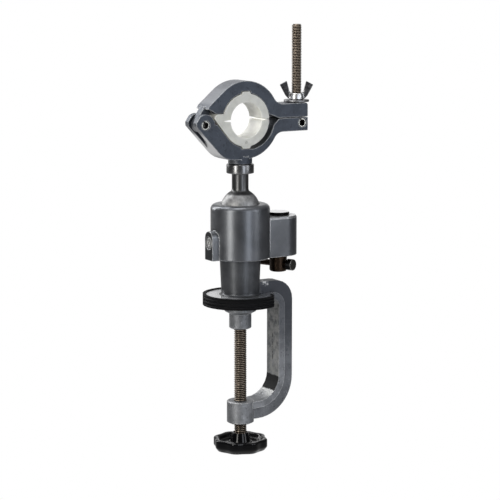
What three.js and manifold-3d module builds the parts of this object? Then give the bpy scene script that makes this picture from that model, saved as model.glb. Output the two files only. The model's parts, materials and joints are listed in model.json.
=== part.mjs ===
// A clamp-on bench vise: a C-shaped bracket for a table edge, a ball head, and a hinged collar with a sleeve.
// Millimetres. Z is up along the clamp screw, X points from the screw to the spine, and the front is at -Y.
import * as THREE from "three";
import { mergeVertices } from "three/addons/utils/BufferGeometryUtils.js";
import Module from "manifold-3d";

const wasm = await Module();
wasm.setup();

// Clearances: between pieces that stay together, and between pieces that turn or slide.
const seatGap = 0.2;
const runningGap = 0.3;

// Cuts run this far past a face, and joined shapes run this far into each other.
const overrun = 1;
const bite = 0.1;

// Thread sizes of the clamp screw and the head stud, and of the swing bolt and the lock bolt.
const clampThreadRadius = 5;
const smallThreadRadius = 4;
const threadEndChamfer = 1;

// Bracket: plate, neck and T-section arm.
const plateBottom = 3;
const plateTop = 8;
const padRadius = 30;
const padWall = 2.5;
const padTop = 8.7;
const padEndX = 18.8;
const padEndHalfWidth = 17.6;
const padShoulderAngle = THREE.MathUtils.degToRad(62);
const padGrooveDepth = 0.8;
const padGrooveHeight = 0.9;
const padGrooveLevels = [2.1, 4.6];
const flangeHalfWidth = 9.2;
const flangeThickness = 5.5;
const throatDepth = 30.5;
const throatTopRadius = 6;
const throatBottomRadius = 19.5;
const webHalfWidth = 5.2;
const webOuterX = 45.4;
const webTop = 17;
const webTopRadius = 16;
const webBottomRadius = 32;
const webBottom = -94;
const bossRadius = 10.8;
const bossTop = -78.5;
const bossTopChamfer = 0.6;
const bossBottom = -96.8;
const bossChamfer = 2.2;

// Pillar and the spigot that carries the housing.
const pillarBaseRadius = 15.1;
const pillarTopRadius = 16.3;
const pillarTop = 37;
const pillarFillet = 2;
const spigotHeight = 8.2;

// Clamp screw, pressure cup and knob.
const cupTop = -2.2;
const cupFlangeRadius = 12.75;
const cupFlangeHeight = 3.1;
const cupConeHeight = 2.2;
const cupBodyRadius = 8.85;
const cupBottom = -19.8;
const cupChamfer = 1.8;
const cupRecessRadius = 7;
const cupRecessDepth = 5.8;
const cupShelf = 4;
const screwTipRadius = 4;
const screwTipAboveShelf = 2.1;
const ringThickness = 0.8;
const ringOuterRadius = 5.8;
const ringGrooveDepth = 0.7;
const knobHubHeight = 4.5;
const knobBossGap = 7.7;
const knobTop = bossBottom - knobBossGap - knobHubHeight;
const knobThickness = 9.5;
const knobBottom = knobTop - knobThickness;
const knobRadius = 22;
const knobLobes = 8;
const knobLobeDepth = 1.8;
const knobBottomBevel = 3;
const knobRimWall = 2.6;
const knobDishDepth = 3.6;
const knobHubRadius = 7.75;
const knobHubTaper = 1.2;
const knobHubShoulder = 0.5;
const knobDishSlope = 1;
const insertAcrossFlats = 16;
const insertThickness = 6;
const screwEndInsideKnob = 1.2;

// Ball head: housing, ball with its stud, seat, rocker lever and fulcrum screw.
const ballRadius = 15.5;
const ballCentreZ = 76.5;
const boreClearance = 0.4;
const housingRadius = 23.5;
const housingTop = 80.3;
const housingTopFillet = 4;
const housingBottomChamfer = 0.7;
const neckRadius = 6.6;
const headFlangeRadius = 10.85;
const headFlangeBottom = 104.5;
const headFlangeTop = 111.8;
const headFlangeRound = 1;
const headStudLength = 10.7;
const leftBossHalfWidth = 6;
const leftBossX = -28.8;
const leftBossTop = 60.4;
const fulcrumZ = 50.9;
const screwRecessRadius = 5;
const screwRecessDepth = 2.6;
const fulcrumHeadRadius = 4.4;
const fulcrumHeadHeight = 2.2;
const fulcrumShankRadius = 3;
const fulcrumTipRadius = 2;
const hexSocketAcrossFlats = 4;
const hexSocketDepth = 1.6;
const leverLeftX = -14.6;
const leverHalfWidth = 5;
const leverHeight = 6;
const leverSocketDepth = 2.5;
const leverSocketPlay = 0.4;
const leverEyeRadius = 9;
const leverEyePlay = 0.8;
const leverSlotPlay = 0.6;
const leverSwing = 1.3;
const seatRimRadius = 13.3;

// Lock: hollow lug, bolt, washer, barrel nut and tommy bar.
const lugHalfWidth = 14.8;
const lugCentreX = 35.3;
const lugTop = 69;
const lugWall = 3;
const lugTopWall = 5;
const lugChamfer = 1.2;
const lockHeadRadius = 8.7;
const lockHeadHeight = 2.4;
const lockHeadFlutes = 16;
const lockHeadFluteRadius = 0.9;
const lockHeadFluteHeight = 1.4;
const lockHeadFacets = 32;
const lockWasherRadius = 7.9;
const lockWasherThickness = 1.6;
const lockNutRadius = 7;
const lockNutBottom = 23.4;
const lockNutRound = 1.6;
const tommyRadius = 2.5;
const tommyZ = 29.5;
const tommyFrontLength = 9.2;
const tommyRearLength = 45;
const tommyCapRadius = 4.6;
const tommyCapLength = 5.4;
const tommyCapDepth = 3.6;
const tommyBearing = THREE.MathUtils.degToRad(-66.05);
const lockBoltEndGap = 1;

// Collar: ring, ears, bore and its two tab grooves, all about the ring's centre.
const ringAboveFlange = 35;
const ringCentreZ = headFlangeTop + ringAboveFlange;
const ringRadius = 30.5;
const collarHalfWidth = 9;
const partingHalfGap = 0.25;
const earEndX = 57.2;
const upperEarTop = 11.2;
const lowerEarBottom = 10.8;
const earFillet = 9;
const earCorner = 2;
const filletStep = 4;
const sleeveRadius = 20.7;
const sleeveGap = 0.4;
const tabWidth = 7.3;
const tabHeight = 1.5;
const grooveGap = 0.5;
const reliefEndX = 30.3;
const reliefHeight = 3.9;
const reliefBite = 4;
const lowerReliefShift = 3;
const lowerReliefRadius = 23;
const lowerReliefDrop = 5.2;
const lowerReliefStart = -85;
const collarBossRadius = 9.45;

// Hinge of the collar.
const hingeX = -36;
const hingeZ = -2.5;
const pinRadius = 3.4;
const pinBoreRadius = 2;
const pinRecess = 0.2;
const tongueHalfWidth = 3.6;
const tongueEyeRadius = 6;
const tongueArcStart = 70;
const cheekRadius = 8.5;
const hingeEndRadius = 12.2;
const jawEndFlatZ = 5.8;
const upperLeftCorner = [-33, 12];
const upperEndTop = [-34.3, 9.6];
const upperEndHeel = [-27.3, 6.1];
const jawInnerX = -17;
const upperTangentAngle = THREE.MathUtils.degToRad(133);
const clevisCorner = [-45.5, -2];
const clevisCornerChamfer = 2;
const cheekStartAngle = 126;
const clevisHeel = [-25.1, -23.8];
const clevisOpenFrom = -20;
const clevisOpenTo = 295;
const heelRadius = 19.5;
const heelCentre = [-10, -11.5];

// Sleeve: bore, length, pointed tab on the left and wedge slots.
const sleeveBoreRadius = 14.15;
const sleeveHalfLength = 9.7;
const sleeveTabApex = [-28.6, 2.6];
const tabCorner = 0.6;
const tabFlare = 1;
const tabRoot = 1.5;
const apexCorner = [1.6, 0.6];
const apexCornerLength = 2.4;
const wedgeWidth = 2.2;
const wedgeDepth = 6.6;
const splitWedgeDepth = 4.6;
const splitWidth = 0.6;

// Swing bolt, washer and wing nut.
const swingX = 52;
const swingZ = -4.5;
const swingEyeRadius = 5.6;
const swingEyeHalfWidth = 3.7;
const swingTopZ = 73;
const earSlotPlay = 0.5;
const washerRadius = 10.1;
const washerThickness = 1.6;
const washerGap = 0.4;
const wingHubRadius = 6;
const wingHubHeight = 5;
const wingHubWaist = 2;
const wingHubChamfer = 0.8;
const wingFoot = 0.6;
const wingRoot = 2.5;
const wingShoulder = [2.8, 3];
const wingHalfThickness = 1.2;
const wingInnerTip = [7.7, 14.5];
const wingOuterTip = [13.3, 11.5];
const wingBearing = THREE.MathUtils.degToRad(-31);

// Facets of large, middle and small round pieces.
const fineFacets = 36;
const facets = 24;
const coarseFacets = 16;
const curveSteps = 7;
const planSteps = 10;
const knobLobeSteps = 6;

const { degToRad } = THREE.MathUtils;

// A closed geometry as a solid that can be joined and cut.
function solid(geometry) {
  geometry.deleteAttribute("normal");
  geometry.deleteAttribute("uv");
  const merged = mergeVertices(geometry, 1e-4);
  const corners = merged.index.array;
  const triangles = [];
  for (let i = 0; i < corners.length; i += 3) {
    const [a, b, c] = corners.slice(i, i + 3);
    if (a !== b && b !== c && c !== a) triangles.push(a, b, c);
  }
  const mesh = new wasm.Mesh({
    numProp: 3,
    vertProperties: merged.attributes.position.array,
    triVerts: new Uint32Array(triangles),
  });
  return new wasm.Manifold(mesh);
}

const asSolid = (shape) => (shape.isBufferGeometry ? solid(shape) : shape);

// All the shapes as one solid.
const join = (first, ...others) => others.reduce((sum, next) => sum.add(asSolid(next)), asSolid(first));

// The first shape without the others.
const cut = (first, ...others) => others.reduce((rest, next) => rest.subtract(asSolid(next)), asSolid(first));

// A solid back as a geometry with flat facets.
function geometryOf(body) {
  const { numProp, vertProperties, triVerts } = body.getMesh();
  const indexed = new THREE.BufferGeometry();
  indexed.setAttribute("position", new THREE.BufferAttribute(vertProperties, numProp));
  indexed.setIndex(new THREE.BufferAttribute(triVerts, 1));
  const geometry = indexed.toNonIndexed();
  geometry.computeVertexNormals();
  return geometry;
}

// A profile of [radius, z] corners turned about Z.
function turned(profile, segments = facets) {
  const corners = profile.map(([radius, z]) => new THREE.Vector2(radius, z));
  return new THREE.LatheGeometry(corners, segments).rotateX(Math.PI / 2);
}

// Corners of an arc about [x, z], with both angles in degrees.
function arc(x, z, radius, from, to, steps = curveSteps) {
  const corners = [];
  for (let i = 0; i <= steps; i++) {
    const angle = degToRad(from + ((to - from) * i) / steps);
    corners.push([x + radius * Math.cos(angle), z + radius * Math.sin(angle)]);
  }
  return corners;
}

// The point at a distance from one corner towards another.
function towards([x, z], [toX, toZ], distance) {
  const share = distance / Math.hypot(toX - x, toZ - z);
  return [x + (toX - x) * share, z + (toZ - z) * share];
}

// Upright cylinder between two heights.
function rod(radius, bottom, top, segments = facets) {
  const geometry = new THREE.CylinderGeometry(radius, radius, top - bottom, segments);
  return geometry.rotateX(Math.PI / 2).translate(0, 0, (top + bottom) / 2);
}

// Cylinder along X between two positions.
function rodX(radius, left, right, segments = coarseFacets) {
  const geometry = new THREE.CylinderGeometry(radius, radius, right - left, segments);
  return geometry.rotateZ(Math.PI / 2).translate((left + right) / 2, 0, 0);
}

// Cylinder along Y, centred on Y = 0.
function rodY(radius, halfLength, segments = coarseFacets) {
  return new THREE.CylinderGeometry(radius, radius, 2 * halfLength, segments);
}

// Box between two corners.
function block([x0, y0, z0], [x1, y1, z1]) {
  const geometry = new THREE.BoxGeometry(x1 - x0, y1 - y0, z1 - z0);
  return geometry.translate((x0 + x1) / 2, (y0 + y1) / 2, (z0 + z1) / 2);
}

// An outline of [x, y] corners as a shape.
const outline = (corners) => new THREE.Shape(corners.map(([x, y]) => new THREE.Vector2(x, y)));

// An outline in X and Z, extruded along Y and centred on Y = 0.
function slab(shape, halfDepth, steps = curveSteps) {
  const geometry = new THREE.ExtrudeGeometry(shape, {
    depth: 2 * halfDepth,
    bevelEnabled: false,
    curveSegments: steps,
  });
  return geometry.rotateX(Math.PI / 2).translate(0, halfDepth, 0);
}

// An outline in X and Y, extruded upwards between two heights.
function upright(shape, bottom, top, steps = curveSteps) {
  const geometry = new THREE.ExtrudeGeometry(shape, {
    depth: top - bottom,
    bevelEnabled: false,
    curveSegments: steps,
  });
  return geometry.translate(0, 0, bottom);
}

// Regular hexagon across its flats.
function hexagon(acrossFlats) {
  const sides = 6;
  return outline(arc(0, 0, acrossFlats / Math.sqrt(3), 0, 360 - 360 / sides, sides - 1));
}

// Plan of the pad and the plate: round on the left, drawn in to a straight end on the right.
function platePlan(radius, endX, endHalfWidth, inset = 0) {
  const shape = new THREE.Shape();
  const r = radius - inset;
  const x = r * Math.cos(padShoulderAngle);
  const y = r * Math.sin(padShoulderAngle);
  const controlY = y - (endX - x) / Math.tan(padShoulderAngle);
  shape.absarc(0, 0, r, padShoulderAngle, 2 * Math.PI - padShoulderAngle, false);
  shape.quadraticCurveTo(endX, -controlY, endX, -(endHalfWidth - inset));
  shape.lineTo(endX, endHalfWidth - inset);
  shape.quadraticCurveTo(endX, controlY, x, y);
  return shape;
}

const part = new THREE.Group();
part.name = "clamp_on_bench_vise";

// A named group, at a place in its parent.
function group(name, x, y, z, parent = part) {
  const made = new THREE.Group();
  made.name = name;
  made.position.set(x, y, z);
  parent.add(made);
  return made;
}

// Adds a body to a group as a named mesh with its own material.
function add(parent, name, body, finish) {
  const material = new THREE.MeshStandardMaterial(finish);
  const mesh = new THREE.Mesh(geometryOf(asSolid(body)), material);
  mesh.name = name;
  parent.add(mesh);
  return mesh;
}

const castGrey = { color: 0x6d6f73, roughness: 0.5, metalness: 0.6 };
const satinGrey = { color: 0x5a5c60, roughness: 0.35, metalness: 0.8 };
const slate = { color: 0x454b55, roughness: 0.45, metalness: 0.5 };
const darkSteel = { color: 0x3a322b, roughness: 0.45, metalness: 0.8 };
const brightSteel = { color: 0xc8cacc, roughness: 0.2, metalness: 1 };
const zinc = { color: 0x9a9da0, roughness: 0.4, metalness: 0.9 };
const blackRubber = { color: 0x101010, roughness: 0.9, metalness: 0 };
const glossBlack = { color: 0x0a0a0a, roughness: 0.25, metalness: 0 };
const milkWhite = { color: 0xe6e4dc, roughness: 0.5, metalness: 0 };

// Bracket: plate with its neck, T-section arm, pillar with the spigot, and the boss for the clamp screw.
const plateRadius = padRadius - padWall - seatGap;
const plateEndHalfWidth = padEndHalfWidth - padWall - seatGap;
const throatArcX = throatDepth - throatBottomRadius;
const throatArcZ = bossTop - bossTopChamfer + throatBottomRadius;
const flangeArcX = throatDepth - throatTopRadius;
const flangeArcZ = plateBottom - throatTopRadius;
const housingBottom = pillarTop + seatGap;
const boreRadius = ballRadius + boreClearance;
const spigotRadius = boreRadius - seatGap;
const spigotTop = housingBottom + spigotHeight;

const plate = upright(platePlan(plateRadius, padEndX, plateEndHalfWidth), plateBottom, plateTop, planSteps);
const neck = upright(
  outline([
    [padEndX - overrun, -plateEndHalfWidth],
    [padEndX, -plateEndHalfWidth],
    [flangeArcX + overrun, -flangeHalfWidth],
    [flangeArcX + overrun, flangeHalfWidth],
    [padEndX, plateEndHalfWidth],
    [padEndX - overrun, plateEndHalfWidth],
  ]),
  plateBottom,
  plateTop,
);

const flangeShape = outline([
  [padEndX - overrun, plateBottom],
  ...arc(flangeArcX, flangeArcZ, throatTopRadius, 90, 0),
  ...arc(throatArcX, throatArcZ, throatBottomRadius, 0, -90),
  ...arc(throatArcX, throatArcZ, throatBottomRadius + flangeThickness, -90, 0),
  ...arc(flangeArcX, flangeArcZ, throatTopRadius + flangeThickness, 0, 90),
  [padEndX - overrun, plateTop],
]);

const webArcX = webOuterX - webBottomRadius;
const webArcStartAngle = 80;
const webShape = outline([
  [0, plateTop - overrun],
  [flangeArcX, plateTop - overrun],
  ...arc(flangeArcX, flangeArcZ, throatTopRadius + flangeThickness / 2, webArcStartAngle, 0),
  ...arc(throatArcX, throatArcZ, throatBottomRadius + flangeThickness / 2, 0, -90),
  [0, throatArcZ - throatBottomRadius - flangeThickness / 2],
  [0, webBottom],
  ...arc(webArcX, webBottom + webBottomRadius, webBottomRadius, -90, 0, facets / 2),
  ...arc(webOuterX - webTopRadius, webTop - webTopRadius, webTopRadius, 0, 90),
  [0, webTop],
]);

const pillar = turned([
  [0, plateTop - overrun],
  [pillarBaseRadius + pillarFillet, plateTop - overrun],
  ...arc(pillarBaseRadius + pillarFillet, plateTop + pillarFillet, pillarFillet, 270, 180, 4),
  [pillarTopRadius, pillarTop],
  [spigotRadius, pillarTop],
  [spigotRadius, spigotTop],
  [0, spigotTop],
], fineFacets);

const boss = turned([
  [0, bossBottom],
  [bossRadius - bossChamfer, bossBottom],
  [bossRadius, bossBottom + bossChamfer / 2],
  [bossRadius, bossTop - bossTopChamfer],
  [bossRadius - bossTopChamfer, bossTop],
  [0, bossTop],
]);
const bossThread = rod(clampThreadRadius + runningGap, bossBottom - overrun, bossTop + overrun);

const bracketGroup = group("bracket", 0, 0, 0);
const bracket = cut(
  join(plate, neck, slab(flangeShape, flangeHalfWidth), slab(webShape, webHalfWidth), pillar, boss),
  bossThread,
);
add(bracketGroup, "bracket_frame", bracket, castGrey);

// Pad: a rubber tray round the plate, open at the top and towards the arm, with grooves round its wall.
const padPlan = (inset) => platePlan(padRadius, padEndX, padEndHalfWidth, inset);
const padLevels = [0];
const padInsets = [];
for (const level of padGrooveLevels) {
  padLevels.push(level, level + padGrooveHeight);
  padInsets.push(0, padGrooveDepth);
}
padLevels.push(padTop);
padInsets.push(0);
const padLayer = (inset, i) => upright(padPlan(inset), padLevels[i], padLevels[i + 1], planSteps);
const padLayers = padInsets.map(padLayer);
const padPocket = upright(
  platePlan(padRadius - padWall, padEndX, padEndHalfWidth - padWall),
  plateBottom - seatGap,
  padTop + overrun,
  planSteps,
);
const padExit = block(
  [padEndX - overrun, -padEndHalfWidth + padWall, plateBottom - seatGap],
  [padEndX + overrun, padEndHalfWidth - padWall, padTop + overrun],
);
add(bracketGroup, "table_pad", cut(join(...padLayers), padPocket, padExit), blackRubber);

// Pressure cup, clamp screw and the ring that keeps the cup on the screw.
const clampGroup = group("clamp", 0, 0, cupTop);
const cupShelfZ = -cupRecessDepth;
const cupShoulderZ = cupShelfZ - cupShelf;
const cupBase = cupBottom - cupTop;
const cup = turned([
  [screwTipRadius + runningGap, cupShoulderZ],
  [clampThreadRadius + runningGap, cupShoulderZ],
  [clampThreadRadius + runningGap, cupBase],
  [cupBodyRadius - cupChamfer, cupBase],
  [cupBodyRadius, cupBase + cupChamfer / 2],
  [cupBodyRadius, -cupFlangeHeight - cupConeHeight],
  [cupFlangeRadius, -cupFlangeHeight],
  [cupFlangeRadius, 0],
  [cupRecessRadius, 0],
  [cupRecessRadius, cupShelfZ],
  [screwTipRadius + runningGap, cupShelfZ],
  [screwTipRadius + runningGap, cupShoulderZ],
]);
add(clampGroup, "pressure_cup", cup, castGrey);

const insertBottom = knobBottom - cupTop + seatGap;
const screwEnd = insertBottom + screwEndInsideKnob;
const screwTipTop = cupShelfZ + screwTipAboveShelf;
const ringBottom = cupShelfZ + runningGap;
const ringTop = ringBottom + ringThickness;
const clampScrew = turned([
  [0, screwEnd],
  [clampThreadRadius - threadEndChamfer, screwEnd],
  [clampThreadRadius, screwEnd + threadEndChamfer],
  [clampThreadRadius, cupShoulderZ - runningGap],
  [screwTipRadius, cupShoulderZ - runningGap],
  [screwTipRadius, ringBottom - seatGap],
  [screwTipRadius - ringGrooveDepth, ringBottom - seatGap],
  [screwTipRadius - ringGrooveDepth, ringTop + seatGap],
  [screwTipRadius, ringTop + seatGap],
  [screwTipRadius, screwTipTop],
  [0, screwTipTop],
]);
add(clampGroup, "clamp_screw", clampScrew, darkSteel);

const ringInnerRadius = screwTipRadius - ringGrooveDepth + seatGap;
const retainingRing = turned([
  [ringInnerRadius, ringBottom],
  [ringOuterRadius, ringBottom],
  [ringOuterRadius, ringTop],
  [ringInnerRadius, ringTop],
  [ringInnerRadius, ringBottom],
], coarseFacets);
add(clampGroup, "cup_retaining_ring", retainingRing, zinc);

// Knob: a lobed wheel with a dished top, a hub, and a hexagon nut in its underside.
const knobGroup = group("knob", 0, 0, knobTop - cupTop, clampGroup);
const knobCorners = [];
for (let i = 0; i < knobLobes * knobLobeSteps; i++) {
  const angle = (2 * Math.PI * i) / (knobLobes * knobLobeSteps);
  const radius = knobRadius - (knobLobeDepth / 2) * (1 - Math.cos(knobLobes * angle));
  knobCorners.push([radius * Math.cos(angle), radius * Math.sin(angle)]);
}
const knobBase = -knobThickness;
const knobWheel = new THREE.ExtrudeGeometry(outline(knobCorners), {
  depth: knobThickness,
  bevelThickness: knobBottomBevel,
  bevelSize: knobBottomBevel,
  bevelOffset: -knobBottomBevel,
  bevelSegments: 2,
}).translate(0, 0, knobBase + knobBottomBevel);
const knobAbove = rod(knobRadius + overrun, 0, 2 * knobBottomBevel);
const knobInside = knobRadius - knobLobeDepth - knobRimWall;
const knobDish = turned([
  [knobHubRadius, -overrun],
  [knobInside - knobDishSlope, -knobDishDepth],
  [knobInside, overrun],
  [knobHubRadius, overrun],
  [knobHubRadius, -overrun],
], fineFacets);
const knobHub = turned([
  [0, -knobDishDepth],
  [knobHubRadius, -knobDishDepth],
  [knobHubRadius, -knobHubShoulder],
  [knobHubRadius - knobHubTaper, knobHubHeight],
  [0, knobHubHeight],
]);
const knobPocket = upright(
  hexagon(insertAcrossFlats + 2 * seatGap),
  knobBase - overrun,
  knobBase + 2 * seatGap + insertThickness,
);
const knobBore = rod(clampThreadRadius + seatGap, knobBase - overrun, knobHubHeight + overrun);
const knob = cut(join(cut(knobWheel, knobAbove, knobDish), knobHub), knobPocket, knobBore);
add(knobGroup, "hand_knob", knob, glossBlack);

const insert = cut(
  upright(hexagon(insertAcrossFlats), knobBase + seatGap, knobBase + seatGap + insertThickness),
  rod(clampThreadRadius + seatGap, knobBase - overrun, 0),
);
add(knobGroup, "knob_insert", insert, zinc);

// Housing: a barrel with a bore for the seat and the ball, a small left boss and a hollow lug on the right.
const ballGroup = group("ball_head", 0, 0, ballCentreZ);
const socketRadius = ballRadius + runningGap;
const baseZ = housingBottom - ballCentreZ;
const topZ = housingTop - ballCentreZ;
const rimAngle = THREE.MathUtils.radToDeg(Math.asin(topZ / socketRadius));
const barrel = turned([
  [0, baseZ],
  [housingRadius - housingBottomChamfer, baseZ],
  [housingRadius, baseZ + housingBottomChamfer],
  ...arc(housingRadius - housingTopFillet, topZ - housingTopFillet, housingTopFillet, 0, 90, 5),
  [0, topZ],
], fineFacets);
const bore = turned([
  [0, baseZ - overrun],
  [boreRadius, baseZ - overrun],
  [boreRadius, 0],
  ...arc(0, 0, socketRadius, 0, rimAngle, 3),
  [socketRadius * Math.cos(degToRad(rimAngle)), topZ + overrun],
  [0, topZ + overrun],
], fineFacets);

const leftTop = leftBossTop - ballCentreZ;
const leftBossShape = outline([
  [-leftBossHalfWidth, baseZ],
  [leftBossHalfWidth, baseZ],
  ...arc(0, leftTop - leftBossHalfWidth, leftBossHalfWidth, 0, 180),
]);
const leftBoss = new THREE.ExtrudeGeometry(leftBossShape, {
  depth: -leftBossX - boreRadius,
  bevelEnabled: false,
}).rotateX(Math.PI / 2).rotateZ(-Math.PI / 2).translate(-boreRadius, 0, 0);

const lugPlan = (radius, left) => {
  const shape = new THREE.Shape();
  shape.moveTo(left, -radius);
  shape.lineTo(lugCentreX, -radius);
  shape.absarc(lugCentreX, 0, radius, -Math.PI / 2, Math.PI / 2, false);
  shape.lineTo(left, radius);
  return shape;
};
const lugTopZ = lugTop - ballCentreZ;
const lugBody = join(
  upright(lugPlan(lugHalfWidth, boreRadius), baseZ, lugTopZ - lugChamfer),
  upright(lugPlan(lugHalfWidth - lugChamfer / 2, boreRadius), lugTopZ - 2 * lugChamfer, lugTopZ),
);
const lugHollow = upright(
  lugPlan(lugHalfWidth - lugWall, housingRadius + seatGap),
  baseZ - overrun,
  lugTopZ - lugTopWall,
);
const lockBoltX = lugCentreX;
const lockBoltHole = rod(
  smallThreadRadius + seatGap,
  lugTopZ - lugTopWall - overrun,
  lugTopZ + overrun,
  coarseFacets,
).translate(lockBoltX, 0, 0);

const leverZ = fulcrumZ - ballCentreZ;
const leverTop = leverZ + leverHeight / 2;
const leverBottom = leverZ - leverHeight / 2;
const leverSlot = block(
  [0, -leverHalfWidth - leverSlotPlay, leverBottom - leverSwing],
  [housingRadius + overrun, leverHalfWidth + leverSlotPlay, leverTop + leverSlotPlay],
);
const fulcrumHole = rodX(fulcrumShankRadius + seatGap, leftBossX - overrun, 0).translate(0, 0, leverZ);
const fulcrumRecess = rodX(
  screwRecessRadius,
  leftBossX - overrun,
  leftBossX + screwRecessDepth,
).translate(0, 0, leverZ);
const housing = cut(
  join(barrel, leftBoss, lugBody),
  bore,
  lugHollow,
  lockBoltHole,
  leverSlot,
  fulcrumHole,
  fulcrumRecess,
);
add(ballGroup, "ball_housing", housing, satinGrey);

// Fulcrum screw: its head lies in the left boss, and its tip carries the lever's end.
const headLeft = leftBossX + screwRecessDepth - seatGap - fulcrumHeadHeight;
const headRight = headLeft + fulcrumHeadHeight;
const tipRight = leverLeftX + leverSocketDepth - leverSocketPlay;
const hexSocket = upright(hexagon(hexSocketAcrossFlats), 0, hexSocketDepth + overrun)
  .rotateY(Math.PI / 2)
  .translate(headLeft - overrun, 0, 0);
const fulcrumScrew = cut(
  join(
    rodX(fulcrumHeadRadius, headLeft, headRight),
    rodX(fulcrumShankRadius, headRight - bite, -boreRadius),
    rodX(fulcrumTipRadius, -boreRadius - bite, tipRight),
  ),
  hexSocket,
).translate([0, 0, leverZ]);
add(ballGroup, "fulcrum_screw", fulcrumScrew, zinc);

// Rocker lever: from the fulcrum under the seat to an eye round the lock bolt.
const leverEye = rod(leverEyeRadius, leverBottom, leverTop).translate(lockBoltX, 0, 0);
const leverBar = block([leverLeftX, -leverHalfWidth, leverBottom], [lockBoltX, leverHalfWidth, leverTop]);
const leverHole = rod(
  smallThreadRadius + leverEyePlay,
  leverBottom - overrun,
  leverTop + overrun,
  coarseFacets,
).translate(lockBoltX, 0, 0);
const leverSocket = rodX(
  fulcrumTipRadius + leverSocketPlay,
  leverLeftX - overrun,
  leverLeftX + leverSocketDepth,
).translate(0, 0, leverZ);
add(ballGroup, "rocker_lever", cut(join(leverBar, leverEye), leverHole, leverSocket), zinc);

// Ball seat: a cup under the ball that the lever pushes up.
const seatRimAngle = THREE.MathUtils.radToDeg(Math.acos(seatRimRadius / socketRadius));
const ballSeat = turned([
  [0, leverTop + runningGap],
  [boreRadius - runningGap, leverTop + runningGap],
  [boreRadius - runningGap, -socketRadius * Math.sin(degToRad(seatRimAngle))],
  ...arc(0, 0, socketRadius, -seatRimAngle, -90, 6),
], fineFacets);
add(ballGroup, "ball_seat", ballSeat, zinc);

// Ball stud: ball, neck, flange and the threaded end that the collar screws onto.
const neckAngle = THREE.MathUtils.radToDeg(Math.acos(neckRadius / ballRadius));
const flangeLow = headFlangeBottom - ballCentreZ;
const flangeHigh = headFlangeTop - ballCentreZ;
const studTop = flangeHigh + headStudLength;
const ballStud = turned([
  ...arc(0, 0, ballRadius, -90, neckAngle, 10),
  [neckRadius, flangeLow],
  [headFlangeRadius - headFlangeRound, flangeLow],
  [headFlangeRadius, flangeLow + headFlangeRound],
  [headFlangeRadius, flangeHigh - headFlangeRound],
  [headFlangeRadius - headFlangeRound, flangeHigh],
  [clampThreadRadius, flangeHigh],
  [clampThreadRadius, studTop - threadEndChamfer],
  [clampThreadRadius - threadEndChamfer, studTop],
  [0, studTop],
], fineFacets);
add(ballGroup, "ball_stud", ballStud, brightSteel);

// Lock: the bolt hangs in the lug, and the barrel nut pushes the washer and the lever up.
const lockGroup = group("lock", lockBoltX, 0, 0);
const leverUnderside = leverBottom + ballCentreZ;
const lockWasherTop = leverUnderside - runningGap;
const lockWasherBottom = lockWasherTop - lockWasherThickness;
const lockNutTop = lockWasherBottom - runningGap;
const lockBoltEnd = tommyZ + tommyRadius + lockBoltEndGap;
const fluteCutters = [];
for (let i = 0; i < lockHeadFlutes; i++) {
  const angle = (2 * Math.PI * i) / lockHeadFlutes;
  const x = lockHeadRadius * Math.cos(angle);
  const y = lockHeadRadius * Math.sin(angle);
  const flute = rod(lockHeadFluteRadius, lugTop - overrun, lugTop + lockHeadFluteHeight, 6);
  fluteCutters.push(flute.translate(x, y, 0));
}
const lockHeadBottom = lugTop + seatGap;
const lockHead = rod(lockHeadRadius, lockHeadBottom, lockHeadBottom + lockHeadHeight, lockHeadFacets);
const lockBolt = join(
  cut(lockHead, ...fluteCutters),
  rod(smallThreadRadius, lockBoltEnd, lockHeadBottom + bite, coarseFacets),
);
add(lockGroup, "lock_bolt", lockBolt, brightSteel);

const washerRing = (outer, inner, bottom, thickness) =>
  turned([
    [inner, bottom],
    [outer, bottom],
    [outer, bottom + thickness],
    [inner, bottom + thickness],
    [inner, bottom],
  ]);
const lockWasherHole = smallThreadRadius + runningGap;
add(
  lockGroup,
  "thrust_washer",
  washerRing(lockWasherRadius, lockWasherHole, lockWasherBottom, lockWasherThickness),
  zinc,
);

const nutBarrel = turned([
  [0, lockNutBottom],
  ...arc(lockNutRadius - lockNutRound, lockNutBottom + lockNutRound, lockNutRound, -90, 0, 3),
  [lockNutRadius, lockNutTop],
  [0, lockNutTop],
]);
const nutThread = rod(smallThreadRadius + runningGap, tommyZ, lockNutTop + overrun, coarseFacets);
const alongBar = (geometry) => geometry.rotateZ(tommyBearing).translate(0, 0, tommyZ);
const barHole = alongBar(rodX(tommyRadius + runningGap, -lockNutRadius - overrun, lockNutRadius + overrun));
add(lockGroup, "lock_nut", cut(nutBarrel, nutThread, barHole), darkSteel);

// Tommy bar with its two end caps, through the lock nut.
add(
  lockGroup,
  "tommy_bar",
  alongBar(rodX(tommyRadius, -tommyRearLength, tommyFrontLength + tommyCapDepth)),
  darkSteel,
);
const capAt = (inner, outwards) => {
  const outer = inner + outwards * tommyCapLength;
  const depth = inner + outwards * (tommyCapDepth + seatGap);
  const body = rodX(tommyCapRadius, Math.min(inner, outer), Math.max(inner, outer));
  const hole = rodX(
    tommyRadius + seatGap,
    Math.min(inner - outwards, depth),
    Math.max(inner - outwards, depth),
  );
  return cut(alongBar(body), alongBar(hole));
};
add(lockGroup, "tommy_bar_cap_front", capAt(tommyFrontLength, 1), darkSteel);
add(
  lockGroup,
  "tommy_bar_cap_rear",
  capAt(-tommyRearLength + tommyCapDepth, -1),
  darkSteel,
);

// Collar: outlines of the two jaws about the ring's centre.
const collarGroup = group("collar", 0, 0, ringCentreZ);
const jawBore = sleeveRadius + sleeveGap;
const earFilletArc = (earZ, side) => {
  const centreZ = earZ + earFillet;
  const centreX = Math.sqrt((ringRadius + earFillet) ** 2 - centreZ ** 2);
  const angle = THREE.MathUtils.radToDeg(Math.atan2(centreZ, centreX));
  const corners = arc(centreX, centreZ, earFillet, 270, 180 + angle, 6);
  return { corners: corners.map(([x, z]) => [x, side * z]), angle };
};

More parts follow.
